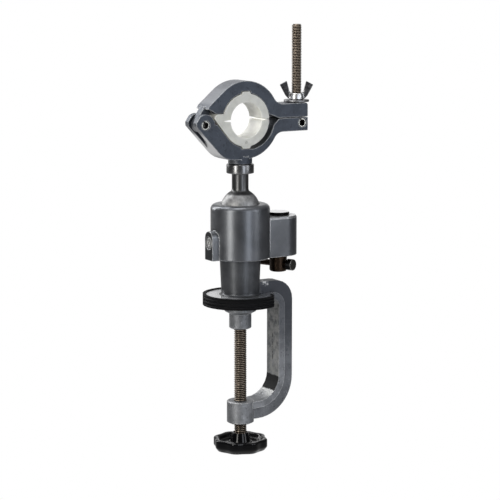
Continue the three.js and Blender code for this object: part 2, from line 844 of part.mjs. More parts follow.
const upperFillet = earFilletArc(upperEarTop, 1);
const upperTangent = THREE.MathUtils.radToDeg(upperTangentAngle);
const endStart = THREE.MathUtils.radToDeg(Math.atan2(upperEndTop[1] - hingeZ, upperEndTop[0] - hingeX));
const endStop = THREE.MathUtils.radToDeg(Math.atan2(upperEndHeel[1] - hingeZ, upperEndHeel[0] - hingeX));
const upperOutline = outline([
  [earEndX, partingHalfGap],
  ...arc(earEndX - earCorner, upperEarTop - earCorner, earCorner, 0, 90, 4),
  ...upperFillet.corners,
  ...arc(0, 0, ringRadius, upperFillet.angle + filletStep, upperTangent, 22),
  upperLeftCorner,
  ...arc(hingeX, hingeZ, hingeEndRadius, endStart, endStop, 4),
  [jawInnerX, jawEndFlatZ],
  [jawInnerX, partingHalfGap],
]);
const boreCutter = rodY(jawBore, collarHalfWidth + overrun, fineFacets);
const grooveHalfWidth = tabWidth / 2 + grooveGap;
const grooveReach = sleeveRadius + tabHeight + runningGap;
const upperGroove = block(
  [-grooveHalfWidth, -collarHalfWidth - overrun, 0],
  [grooveHalfWidth, collarHalfWidth + overrun, grooveReach],
);
const reliefX = Math.sqrt(jawBore ** 2 - reliefHeight ** 2);
const upperRelief = slab(
  outline([
    [reliefX - reliefBite, -overrun],
    [reliefEndX, -overrun],
    [reliefEndX, partingHalfGap],
    [reliefX, reliefHeight],
    [reliefX - reliefBite, reliefHeight],
  ]),
  collarHalfWidth + overrun,
);

// Tongue of the upper jaw: an eye round the hinge pin and a web up to the jaw's end face.
const endTangent = THREE.MathUtils.radToDeg(Math.acos(tongueEyeRadius / hingeEndRadius));
const tongueRightX = sleeveTabApex[0] - sleeveGap - runningGap;
const tongueWeb = outline([
  ...arc(hingeX, hingeZ, tongueEyeRadius, endStart + endTangent, 360, 10),
  [tongueRightX, hingeZ + 2 * overrun],
  [tongueRightX, hingeZ + hingeEndRadius],
  ...arc(hingeX, hingeZ, hingeEndRadius + 2 * overrun, tongueArcStart, endStart, 2),
]);
const pinHole = rodY(pinRadius + runningGap, collarHalfWidth + overrun).translate(hingeX, 0, hingeZ);
const rodSlotHalf = smallThreadRadius + earSlotPlay;
const upperEarSlot = block(
  [swingX - rodSlotHalf, -rodSlotHalf, -overrun],
  [earEndX + overrun, rodSlotHalf, upperEarTop + overrun],
);
const upperJaw = cut(
  join(
    cut(slab(upperOutline, collarHalfWidth), boreCutter, upperGroove, upperRelief),
    slab(tongueWeb, tongueHalfWidth),
  ),
  pinHole,
  upperEarSlot,
);
add(collarGroup, "upper_jaw", upperJaw, slate);

// Lower jaw: ring half, ear with a slot for the swing bolt, clevis for the tongue, and boss for the stud.
const lowerFillet = earFilletArc(lowerEarBottom, -1);
const [cornerX, cornerZ] = clevisCorner;
const [heelX, heelZ] = clevisHeel;
const heelStart = THREE.MathUtils.radToDeg(Math.atan2(heelZ - heelCentre[1], heelX - heelCentre[0]));
const cheekStart = [
  hingeX + cheekRadius * Math.cos(degToRad(cheekStartAngle)),
  hingeZ + cheekRadius * Math.sin(degToRad(cheekStartAngle)),
];
const lowerOutline = outline([
  [earEndX, -partingHalfGap],
  [earEndX, -lowerEarBottom],
  ...lowerFillet.corners,
  ...arc(0, 0, ringRadius, -lowerFillet.angle - filletStep, -90, 10),
  ...arc(heelCentre[0], heelCentre[1], heelRadius, -90, heelStart, 4),
  towards(clevisCorner, clevisHeel, clevisCornerChamfer),
  towards(clevisCorner, cheekStart, clevisCornerChamfer),
  ...arc(hingeX, hingeZ, cheekRadius, cheekStartAngle, 0, 8),
  [0, -partingHalfGap],
]);

// The jaw's inside follows the sleeve's pointed tab on the left and is relieved on the right.
const apexDistance = Math.hypot(...sleeveTabApex);
const apexAngle = Math.atan2(sleeveTabApex[1], sleeveTabApex[0]);
const tabTangent = apexAngle + Math.acos(sleeveRadius / apexDistance);
const apexOut = 1 + sleeveGap / apexDistance;
const apexReliefX = sleeveTabApex[0] * apexOut - sleeveGap;
const tabRelief = slab(
  outline([
    [0, 0],
    [jawBore * Math.cos(tabTangent), jawBore * Math.sin(tabTangent)],
    [apexReliefX, sleeveTabApex[1] * apexOut - sleeveGap],
    [apexReliefX, jawEndFlatZ],
    [0, jawEndFlatZ],
  ]),
  collarHalfWidth + overrun,
);
const reliefTop = -THREE.MathUtils.radToDeg(Math.asin(lowerReliefDrop / lowerReliefRadius));
const lowerRelief = slab(
  outline([
    [0, overrun],
    [0, -grooveReach + overrun],
    [grooveHalfWidth, -grooveReach],
    ...arc(lowerReliefShift, 0, lowerReliefRadius, lowerReliefStart, reliefTop, 10),
    [reliefEndX, -partingHalfGap],
    [reliefEndX, overrun],
  ]),
  collarHalfWidth + overrun,
);
const lowerGroove = block(
  [-grooveHalfWidth, -collarHalfWidth - overrun, -grooveReach],
  [grooveHalfWidth, collarHalfWidth + overrun, 0],
);

const slotHalf = tongueHalfWidth + runningGap;
const slotReach = 40;
const slotFan = outline([
  [hingeX, hingeZ],
  ...arc(hingeX, hingeZ, slotReach, clevisOpenFrom, clevisOpenTo, 8),
]);
const clevisSlot = join(
  slab(slotFan, slotHalf),
  rodY(tongueEyeRadius + 2 * runningGap, slotHalf).translate(hingeX, 0, hingeZ),
);
const keepRight = block(
  [-slotReach / 2, -slotHalf - overrun, -slotReach],
  [slotReach, slotHalf + overrun, slotReach],
);

const lowerEarSlot = block(
  [swingX - swingEyeRadius - 2 * runningGap, -rodSlotHalf, -lowerEarBottom - overrun],
  [earEndX + overrun, rodSlotHalf, overrun],
);
const swingHole = rodY(pinRadius + runningGap, collarHalfWidth + overrun).translate(swingX, 0, swingZ);
const collarBossBottom = headFlangeTop + runningGap - ringCentreZ;
const collarBoss = rod(collarBossRadius, collarBossBottom, -ringRadius + 2 * overrun);
const studHole = rod(
  clampThreadRadius + runningGap,
  collarBossBottom - overrun,
  studTop + ballCentreZ + seatGap + runningGap - ringCentreZ,
  coarseFacets,
);
const lowerJaw = cut(
  join(
    cut(slab(lowerOutline, collarHalfWidth), boreCutter, lowerGroove, tabRelief, lowerRelief),
    cut(collarBoss, rodY(jawBore + 2 * overrun, collarHalfWidth + overrun)),
  ),
  cut(clevisSlot, keepRight),
  pinHole,
  swingHole,
  lowerEarSlot,
  studHole,
);
add(collarGroup, "lower_jaw", lowerJaw, slate);

// Rolled pins of the hinge and of the swing bolt.
const rolledPin = (x, z) =>
  cut(
    rodY(pinRadius, collarHalfWidth - pinRecess),
    rodY(pinBoreRadius, collarHalfWidth + overrun, 12),
  ).translate([x, 0, z]);
add(collarGroup, "hinge_pin", rolledPin(hingeX, hingeZ), brightSteel);
add(collarGroup, "swing_pin", rolledPin(swingX, swingZ), brightSteel);

// Sleeve: a split tube with a tab above, one below and a pointed one on the left.
const tabShape = (side) =>
  outline([
    [-tabWidth / 2 - tabFlare, side * (sleeveRadius - tabRoot)],
    [-tabWidth / 2 + tabCorner, side * (sleeveRadius + tabHeight)],
    [tabWidth / 2 - tabCorner, side * (sleeveRadius + tabHeight)],
    [tabWidth / 2 + tabFlare, side * (sleeveRadius - tabRoot)],
  ]);
const tabFlatZ = jawEndFlatZ - sleeveGap / 2;
const pointedTab = outline([
  [-sleeveBoreRadius - overrun, 0],
  [sleeveRadius * Math.cos(tabTangent), sleeveRadius * Math.sin(tabTangent)],
  sleeveTabApex,
  [sleeveTabApex[0] + apexCorner[0], tabFlatZ - apexCorner[1]],
  [sleeveTabApex[0] + apexCornerLength, tabFlatZ],
  [-sleeveBoreRadius - overrun, tabFlatZ],
]);
const leftWedge = outline([
  [-sleeveBoreRadius + overrun, -wedgeWidth / 2],
  [-sleeveBoreRadius - wedgeDepth, 0],
  [-sleeveBoreRadius + overrun, wedgeWidth / 2],
]);
const rightWedge = outline([
  [sleeveBoreRadius - overrun, -wedgeWidth / 2],
  [sleeveBoreRadius - overrun, wedgeWidth / 2],
  [sleeveBoreRadius + splitWedgeDepth, 0],
]);
const split = block(
  [sleeveBoreRadius - overrun, -sleeveHalfLength - overrun, -splitWidth / 2],
  [sleeveRadius + overrun, sleeveHalfLength + overrun, splitWidth / 2],
);
const sleeve = cut(
  join(
    rodY(sleeveRadius, sleeveHalfLength, fineFacets),
    slab(tabShape(1), sleeveHalfLength),
    slab(tabShape(-1), sleeveHalfLength),
    slab(pointedTab, sleeveHalfLength),
  ),
  rodY(sleeveBoreRadius, sleeveHalfLength + overrun, fineFacets),
  slab(leftWedge, sleeveHalfLength + overrun),
  slab(rightWedge, sleeveHalfLength + overrun),
  split,
);
add(collarGroup, "reducing_sleeve", sleeve, milkWhite);

// Swing bolt: a threaded rod with a flat-sided eye on the swing pin.
const swingBolt = cut(
  join(
    rod(smallThreadRadius, 0, swingTopZ - swingZ, coarseFacets),
    rodY(swingEyeRadius, swingEyeHalfWidth),
  ),
  rodY(pinRadius + runningGap, swingEyeHalfWidth + overrun),
  block(
    [-swingEyeRadius, swingEyeHalfWidth, -swingEyeRadius],
    [swingEyeRadius, smallThreadRadius + overrun, swingEyeRadius],
  ),
  block(
    [-swingEyeRadius, -smallThreadRadius - overrun, -swingEyeRadius],
    [swingEyeRadius, -swingEyeHalfWidth, swingEyeRadius],
  ),
).translate([swingX, 0, swingZ]);
add(collarGroup, "swing_bolt", swingBolt, darkSteel);

// Washer and wing nut over the upper ear.
const fastenerGroup = group("fastener", swingX, 0, upperEarTop, collarGroup);
const nutHole = smallThreadRadius + runningGap;
add(
  fastenerGroup,
  "flat_washer",
  washerRing(washerRadius, nutHole, washerGap, washerThickness),
  brightSteel,
);
const wingBottom = washerGap + washerThickness + runningGap;
const hub = turned([
  [0, 0],
  [wingHubRadius, 0],
  [wingHubRadius, wingHubWaist],
  [wingHubRadius - wingHubChamfer, wingHubHeight],
  [0, wingHubHeight],
], coarseFacets);
const wingCorners = (side) =>
  outline([
    [side * (wingHubRadius - wingRoot), wingFoot],
    [side * (wingHubRadius + wingFoot), wingFoot],
    [side * (wingHubRadius + wingShoulder[0]), wingShoulder[1]],
    [side * wingOuterTip[0], wingOuterTip[1]],
    [side * wingInnerTip[0], wingInnerTip[1]],
    [side * (wingHubRadius - wingFoot), wingHubHeight + overrun],
    [side * (wingHubRadius - wingRoot), wingHubHeight - seatGap],
  ]);
const wingNut = cut(
  join(hub, slab(wingCorners(1), wingHalfThickness), slab(wingCorners(-1), wingHalfThickness)),
  rod(nutHole, -overrun, wingHubHeight + overrun, coarseFacets),
);
const wing = add(fastenerGroup, "wing_nut", wingNut, zinc);
wing.position.z = wingBottom;
wing.rotation.z = wingBearing;

export default part;
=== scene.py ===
# %% [markdown]
# # A clamp-on bench vise, dressed for its photograph
# The packed CAD model is the frame. Each visible piece is either a CAD solid with softened edges
# or a new surface made from a formula. All lengths are in metres, Z is up along the clamp screw,
# and the viewer stands at -Y, a little to the left.

import json
from math import cos, pi, radians, sin

import bmesh
import bpy
import numpy as np
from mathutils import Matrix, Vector


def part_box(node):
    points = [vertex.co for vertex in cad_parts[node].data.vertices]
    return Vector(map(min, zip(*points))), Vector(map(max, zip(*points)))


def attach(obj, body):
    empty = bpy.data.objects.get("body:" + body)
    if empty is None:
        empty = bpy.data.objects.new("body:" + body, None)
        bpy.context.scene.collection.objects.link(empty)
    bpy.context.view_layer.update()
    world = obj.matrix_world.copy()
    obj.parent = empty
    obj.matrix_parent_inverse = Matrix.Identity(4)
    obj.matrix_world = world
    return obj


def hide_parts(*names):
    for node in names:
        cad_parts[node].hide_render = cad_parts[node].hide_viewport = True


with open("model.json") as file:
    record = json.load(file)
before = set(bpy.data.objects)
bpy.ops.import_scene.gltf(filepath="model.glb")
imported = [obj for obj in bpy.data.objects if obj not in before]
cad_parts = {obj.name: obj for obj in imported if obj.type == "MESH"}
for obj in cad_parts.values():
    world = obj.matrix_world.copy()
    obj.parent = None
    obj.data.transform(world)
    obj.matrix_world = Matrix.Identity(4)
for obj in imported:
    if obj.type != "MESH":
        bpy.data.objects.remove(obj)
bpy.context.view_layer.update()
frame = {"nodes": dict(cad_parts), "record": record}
record = frame["record"]
bodies = {node: body for body, nodes in record["behaviour"]["bodies"].items() for node in nodes}
slot_of = {row["node"]: row["material_slot"] for row in record["subparts"]}
scene = bpy.context.scene
MM = 0.001

# %% [markdown]
# ## Camera
# The photograph looks from the front left, a little from above, through a long lens: the collar
# and the knob keep their proportions, as they do from far away. A wide lens close by would swell
# the nearest piece, so the camera stands far off here too. The two level directions, to the right
# and towards the viewer, are kept for placing the lamps.


# %% Camera
def aim_at(thing, target):
    """Turns a camera or a lamp so that it looks at the target."""
    thing.rotation_euler = (Vector(target) - thing.location).to_track_quat("-Z", "Y").to_euler()


camera_data = bpy.data.cameras.new("camera")
camera_data.lens = 140.4
camera_data.sensor_width = 36
camera = bpy.data.objects.new("camera", camera_data)
camera.location = (-0.777, -1.308, 0.290)
aim_at(camera, (0.0066, -0.0040, 0.0432))
scene.collection.objects.link(camera)
scene.camera = camera
scene.view_settings.view_transform = "Standard"

VIEW_TURN = radians(31)
right = Vector((cos(VIEW_TURN), -sin(VIEW_TURN), 0))
toward = Vector((-sin(VIEW_TURN), -cos(VIEW_TURN), 0))
print("a camera with a lens of", round(camera_data.lens, 1), "mm")

# %% [markdown]
# ## Lamps
# Round pieces in the photograph have a wide soft highlight on the left, a fainter one on the right
# and a thin bright rim. Small lamps would give hard spots, so large rectangles of light stand round
# the object, as softboxes do in a studio. Four are placed by their angle from the viewer and their
# distance, and the fifth hangs above.

# %% Lamps
LAMP_AIM = (0, 0, 0.06)


def area_light(name, across, near, up, width, height, power, tint):
    """A rectangle of light at across * right + near * toward + up, facing the middle of the object."""
    data = bpy.data.lights.new(name, "AREA")
    data.shape = "RECTANGLE"
    data.size, data.size_y = width, height
    data.energy = power
    data.color = tint
    lamp = bpy.data.objects.new(name, data)
    lamp.location = across * right + near * toward + Vector((0, 0, up))
    aim_at(lamp, LAMP_AIM)
    scene.collection.objects.link(lamp)


# Name, degrees to the viewer's right, distance, then up, width, height, power and tint.
for name, turn, distance, *softbox in (
    ("key_left", -39, 1.1, 0.25, 0.30, 1.0, 8.4, (1.0, 0.985, 0.93)),
    ("fill_right", 33, 1.15, 0.20, 0.34, 1.0, 4.2, (0.88, 0.93, 1.0)),
    ("side_right", 66, 1.1, 0.30, 0.30, 0.8, 3.0, (0.93, 0.96, 1.0)),
    ("rim_left", -125, 0.8, 0.45, 0.25, 0.8, 5.0, (1, 1, 1)),
):
    area_light(name, distance * sin(radians(turn)), distance * cos(radians(turn)), *softbox)
area_light("top", -0.15, -0.1, 0.9, 0.6, 0.6, 9.0, (1, 1, 1))
print(len(bpy.data.lights), "soft lamps")

# %% [markdown]
# ## World
# Polished metal shows the room round it. The photograph's studio has a white backdrop behind the
# object, a pale ceiling and table, and dark gaps at the sides, which give the metal its dark bands.
# A picture of a room could be wrapped round the scene. Two ramps are enough here: grey levels by
# how far a direction points towards the viewer, and grey levels by height. The lighter one wins.

# %% World
world = bpy.data.worlds.new("world")
scene.world = world
world.use_nodes = True
tree = world.node_tree
tree.nodes.clear()


def world_node(kind, **settings):
    """A node of the world's tree."""
    made = tree.nodes.new("ShaderNode" + kind)
    for name, value in settings.items():
        setattr(made, name, value)
    return made


def ramp_of(socket, stops):
    """Grey levels along a value from -1 to 1, as pairs of (value, level)."""
    spread = world_node("MapRange")
    spread.inputs["From Min"].default_value = -1
    tree.links.new(socket, spread.inputs["Value"])
    ramp = world_node("ValToRGB")
    ramp.color_ramp.interpolation = "EASE"
    first, last = ramp.color_ramp.elements
    first.position, last.position = (stops[0][0] + 1) / 2, (stops[-1][0] + 1) / 2
    first.color, last.color = [(level, level, level, 1) for level in (stops[0][1], stops[-1][1])]
    for value, level in stops[1:-1]:
        ramp.color_ramp.elements.new((value + 1) / 2).color = (level, level, level, 1)
    tree.links.new(spread.outputs["Result"], ramp.inputs["Fac"])
    return ramp.outputs["Color"]


direction = world_node("TexCoord").outputs["Generated"]
facing = world_node("VectorMath", operation="DOT_PRODUCT")
facing.inputs[1].default_value = toward
tree.links.new(direction, facing.inputs[0])
height = world_node("SeparateXYZ")
tree.links.new(direction, height.inputs[0])
BACKDROP_LEVELS = [(-0.99, 1.0), (-0.93, 0.35), (-0.6, 0.07), (0.2, 0.05), (0.9, 0.10)]
CEILING_LEVELS = [(-0.8, 1.0), (-0.45, 0.8), (-0.15, 0.08), (0.2, 0.02), (0.55, 0.35), (0.9, 0.9)]
studio = world_node("Mix", data_type="RGBA", blend_type="LIGHTEN")
studio.inputs["Factor"].default_value = 1
tree.links.new(ramp_of(facing.outputs["Value"], BACKDROP_LEVELS), studio.inputs[6])
tree.links.new(ramp_of(height.outputs["Z"], CEILING_LEVELS), studio.inputs[7])
print("a studio of", len(tree.nodes), "nodes")

# %% [markdown]
# ## What each kind of ray sees
# The picture's background is pure white, but a white world would wash the metal out. The Light
# Path node tells rays apart: the camera's own rays see white, reflections see the studio, and
# everything else is lit by an even, slightly blue grey.

# %% What each kind of ray sees
rays = world_node("LightPath")
white = world_node("Background")
white.inputs["Color"].default_value = (1, 1, 1, 1)
reflected = world_node("Background")
tree.links.new(studio.outputs[2], reflected.inputs["Color"])
even = world_node("Background")
even.inputs["Color"].default_value = (0.93, 0.96, 1.0, 1)
even.inputs["Strength"].default_value = 0.22
shiny = world_node("Math", operation="MAXIMUM")
tree.links.new(rays.outputs["Is Glossy Ray"], shiny.inputs[0])
tree.links.new(rays.outputs["Is Transmission Ray"], shiny.inputs[1])
inner = world_node("MixShader")
outer = world_node("MixShader")
for mixed, *sources in (
    (inner, shiny.outputs[0], even.outputs[0], reflected.outputs[0]),
    (outer, rays.outputs["Is Camera Ray"], inner.outputs[0], white.outputs[0]),
):
    for source, target in zip(sources, mixed.inputs):
        tree.links.new(source, target)
tree.links.new(outer.outputs[0], world_node("OutputWorld").inputs["Surface"])
print("a world of", len(tree.nodes), "nodes")

# %% [markdown]
# ## Shader arithmetic
# A finish is easiest to follow as a formula. A `Value` wraps one output socket of a node tree and
# has the usual operators, so `0.4 + 0.2 * noise` adds two maths nodes. `add_node` adds any other
# shader node and returns one of its outputs.


# %% Values of a shader
def feed(material_tree, target, value):
    """Links a Value to the target socket, or sets a plain number, colour or vector on it."""
    if isinstance(value, Value):
        material_tree.links.new(value.socket, target)
    else:
        target.default_value = value


def add_node(material_tree, kind, output, settings=(), **inputs):
    """A shader node with its settings and inputs by name, as a Value of the named output."""
    made = material_tree.nodes.new("ShaderNode" + kind)
    for name, setting in dict(settings).items():
        setattr(made, name, setting)
    for name, value in inputs.items():
        feed(material_tree, made.inputs[name.replace("_", " ")], value)
    return Value(material_tree, made.outputs[output])


class Value:
    """One shader output, with the usual operators as maths nodes."""

    def __init__(self, material_tree, socket):
        self.tree, self.socket = material_tree, socket

    def maths(self, operation, *values):
        """A maths node of these values, which are numbers or Values of this tree."""
        made = self.tree.nodes.new("ShaderNodeMath")
        made.operation = operation
        for target, value in zip(made.inputs, values):
            feed(self.tree, target, value)
        return Value(self.tree, made.outputs[0])

    def __add__(self, other):
        return self.maths("ADD", self, other)

    def __sub__(self, other):
        return self.maths("SUBTRACT", self, other)

    def __rsub__(self, other):
        return self.maths("SUBTRACT", other, self)

    def __mul__(self, other):
        return self.maths("MULTIPLY", self, other)

    __radd__ = __add__
    __rmul__ = __mul__

    def __pow__(self, other):
        return self.maths("POWER", self, other)

    def dot(self, other):
        """Cosine of the angle between two unit vectors."""
        made = self.tree.nodes.new("ShaderNodeVectorMath")
        made.operation = "DOT_PRODUCT"
        for target, value in zip(made.inputs, (self, other)):
            feed(self.tree, target, value)
        return Value(self.tree, made.outputs["Value"])

    def part(self, axis):
        """The X, Y or Z of a vector."""
        return add_node(self.tree, "SeparateXYZ", axis, Vector=self)

    def step(self, low, high):
        """0 below low, 1 above high, and a smooth ramp between."""
        smooth = {"interpolation_type": "SMOOTHSTEP"}
        return add_node(
            self.tree, "MapRange", "Result", smooth, Value=self, From_Min=low, From_Max=high
        )

    def near(self, middle, reach, edge):
        """1 within reach of middle, falling to 0 over the next edge metres."""
        away = self - middle
        return 1 - away.maths("ABSOLUTE", away).step(reach, reach + edge)

    def blend(self, first, second):
        """first where this is 0, second where it is 1; both are colours or Values."""
        made = self.tree.nodes.new("ShaderNodeMix")
        made.data_type = "RGBA"
        feed(self.tree, made.inputs["Factor"], self)
        for target, colour in ((made.inputs[6], first), (made.inputs[7], second)):
            feed(self.tree, target, colour if isinstance(colour, Value) else (*colour, 1))
        return Value(self.tree, made.outputs[2])


print("a Value has", ", ".join(name for name in vars(Value) if not name.startswith("__")))

# %% [markdown]
# ## Patterns of a surface
# Real finishes are never even, and most of their marks follow the shape: edges are lightened, as
# paint wear and as a painted highlight line, and corners are darkened as painted shade. Marks painted
# by hand would need unwrapped meshes. Here noise in the piece's own coordinates gives grain and
# stains that stay with the piece in every pose, the Bevel node's rounded normal finds the edges, and
# ambient occlusion finds the corners.

# %% Patterns of a surface
SAMPLES = {"samples": 6}
look_of = {}


class Surface:
    """A material with a Principled shader, listed in look_of, and the patterns it is made of."""

    def __init__(self, name, **uniform):
        look_of[name] = bpy.data.materials.new(name)
        look_of[name].use_nodes = True
        self.tree = look_of[name].node_tree
        self.shader = self.tree.nodes["Principled BSDF"]
        self.set(**uniform)
        self.place = add_node(self.tree, "TexCoord", "Object")

    def set(self, **sockets):
        """Feeds the shader's sockets from numbers, colours or Values."""
        for name, value in sockets.items():
            feed(self.tree, self.shader.inputs[name.replace("_", " ")], value)

    def bump(self, height, distance):
        """Raises the surface by height times distance, in metres."""
        self.set(Normal=add_node(self.tree, "Bump", "Normal", Height=height, Distance=distance))

    def along(self, axes):
        """The object coordinates along these axes, in metres."""
        return [self.place.part(axis) for axis in axes]

    def noise(self, size, detail=3.0, stretch=(1, 1, 1), roughness=0.55):
        """Noise between 0 and 1 whose features are about this size in metres."""
        moved = add_node(self.tree, "Mapping", "Vector", Vector=self.place, Scale=stretch)
        return add_node(
            self.tree, "TexNoise", "Fac", Vector=moved, Scale=1 / size, Detail=detail, Roughness=roughness
        )

    def cells(self, size):
        """Distance to the nearest random point, with points about this far apart."""
        return add_node(self.tree, "TexVoronoi", "Distance", Vector=self.place, Scale=1 / size)

    def crests(self):
        """Above a half on outward curves of a dense mesh, below on inward ones."""
        return add_node(self.tree, "NewGeometry", "Pointiness")

    def hollows(self, reach, low=0.45, high=0.85):
        """1 in corners and recesses that see little of the room within this reach, 0 in the open."""
        seen = add_node(self.tree, "AmbientOcclusion", "AO", SAMPLES, Distance=reach)
        return 1 - seen.step(low, high)

    def edges(self, width):
        """1 on sharp edges, out to this width: there the rounded normal leans away from the true one."""
        rounded_normal = add_node(self.tree, "Bevel", "Normal", SAMPLES, Radius=width)
        lean = 1 - rounded_normal.dot(add_node(self.tree, "NewGeometry", "Normal"))
        return lean.step(0.004, 0.06)

    def side_faces(self):
        """1 where the surface faces along Y, as the flat front and back do."""
        along = add_node(self.tree, "TexCoord", "Normal").part("Y")
        return (along * along).step(0.35, 0.6)

    def facing_up(self):
        """1 where the surface faces upwards in the piece's own frame."""
        return add_node(self.tree, "TexCoord", "Normal").part("Z").step(0.6, 0.85)


print("a Surface has", ", ".join(name for name in vars(Surface) if not name.startswith("__")))

# %% [markdown]
# ## Castings
# The pressure cup is a small rough casting under thin paint. Its colour drifts between two greys
# over centimetres, with pale flecks and dark specks, edges lightened as wear and as a painted
# highlight line and corners darkened as painted shade, and tiny pits catch the light.
# The same pattern is the first coat of the collar and of the bracket, which is why it is a
# function of its own.

# %% Castings
EDGE_WEAR_AND_HIGHLIGHT_COLOUR = (0.62, 0.62, 0.62)


def cast_pattern(s, dark, light, wear_and_highlight):
    """Colour of a painted casting, and the drift and the flecks that it is made of."""
    drift = s.noise(0.014, detail=6, roughness=0.65)
    fleck = s.noise(0.0014, roughness=0.75).step(0.60, 0.68)
    speck = s.noise(0.0021, detail=2, roughness=0.65, stretch=(1.3, 1, 0.8)).step(0.61, 0.68)
    hollow = s.hollows(0.006)
    # Edges are lightened: partly paint wear, partly a painted highlight line along each edge.
    edge_wear_and_highlight = s.edges(0.0009) * (1 - hollow) * (s.noise(0.005).step(0.25, 0.55) * 0.6 + 0.4)
    pale = tuple(min(1, 2.1 * c) for c in light)
    dirt = tuple(0.25 * c for c in dark)
    base = drift.step(0.36, 0.64).blend(dark, light)
    base = (fleck * 0.45).blend(base, pale)
    base = (speck * 0.6).blend(base, dirt)
    # Corners and recesses are darkened towards the dark colour as painted shade.
    base = (hollow * 0.75).blend(base, dirt)
    return (edge_wear_and_highlight * wear_and_highlight).blend(base, EDGE_WEAR_AND_HIGHLIGHT_COLOUR), drift, fleck


def cast_metal(name, dark, light, rough, grain, wear_and_highlight):
    """Painted casting with pits under a millimetre; grain is their depth in metres."""
    s = Surface(name, Metallic=0.55, IOR=1.5)
    colour, drift, fleck = cast_pattern(s, dark, light, wear_and_highlight)
    s.set(Base_Color=colour, Roughness=drift * 0.16 + fleck * 0.1 + rough)
    s.bump(s.noise(0.0009) * 0.7 + s.cells(0.0016).step(0.02, 0.28) * 0.3, grain)


cast_metal("cast_grey", (0.13, 0.135, 0.145), (0.22, 0.225, 0.24), rough=0.38, grain=0.00022, wear_and_highlight=0.45)
print("cast_grey has", len(look_of["cast_grey"].node_tree.nodes), "nodes")

# %% [markdown]
# ## Collar
# The collar's flat faces keep their slate paint. Its outer walls were linished, so they are
# lighter, and below the hinge they are painted almost white, a painted reflection of the pale table.
# The hinge's tongue is darker again. One material with masks by place and by facing does all this,
# where separate materials would leave hard seams.


# %% Collar
def collar_metal(name, dark, light, rubbed):
    """The collar: slate paint on its flat faces, walls that were linished and rubbed lighter, and a
    painted reflection on the walls below the hinge.
    """
    s = Surface(name, Metallic=0.55, IOR=1.5)
    x, z = s.along("XZ")
    colour, drift, fleck = cast_pattern(s, dark, light, wear_and_highlight=0.75)
    tongue = (1 - x.step(-0.034, -0.029)) * z.step(0.143, 0.146)
    walls = (1 - s.side_faces()) * (1 - s.hollows(0.008, 0.5, 0.9)) * (1 - tongue * 0.75)
    # Below the hinge the walls are painted almost white: a painted reflection of the pale table.
    painted_light = walls * (1 - x.step(-0.024, -0.016)) * (1 - z.step(0.134, 0.139))
    brushed = s.noise(0.0016, detail=4, stretch=(1, 0.12, 1), roughness=0.7)
    colour = (walls * (brushed * 0.5 + 0.5)).blend(colour, rubbed)
    s.set(Base_Color=(painted_light * 0.85).blend(colour, (0.60, 0.60, 0.61)))
    s.set(Roughness=drift * 0.14 + fleck * 0.1 + 0.42 - walls * 0.08)
    s.bump(s.noise(0.0009) * 0.6 + brushed * walls * 0.4, 0.00007)


collar_metal("slate_cast", (0.030, 0.036, 0.048), (0.044, 0.052, 0.068), rubbed=(0.165, 0.17, 0.183))
print("slate_cast has", len(look_of["slate_cast"].node_tree.nodes), "nodes")

# %% [markdown]
# ## Bracket
# The bracket is one casting, but its finish changes from place to place: a machined pillar, a
# plate of low roughness with a painted highlight on its left, an arm that is darker towards its top
# bend and darkened as painted shade in its recessed flat web, and an inner bend with pale dust, a
# parting line and a dark patch. A few bright chips sit where the arm leaves the pillar. Each place
# is a mask from the object coordinates, and each mask blends one more colour over the casting's
# first coat.

# %% Bracket
PILLAR_RADIUS, PILLAR_BOTTOM = 0.0167, 0.0078
PLATE_BOTTOM, PLATE_TOP = 0.0075, 0.0095
WEB_HALF_WIDTH = 0.0054
INNER_BEND_X = 0.0335
PARTING_LINE_Z = -0.038
DARK_PATCH_Z = -0.0655
CHIPS_X, CHIPS_Z = 0.0200, 0.0165


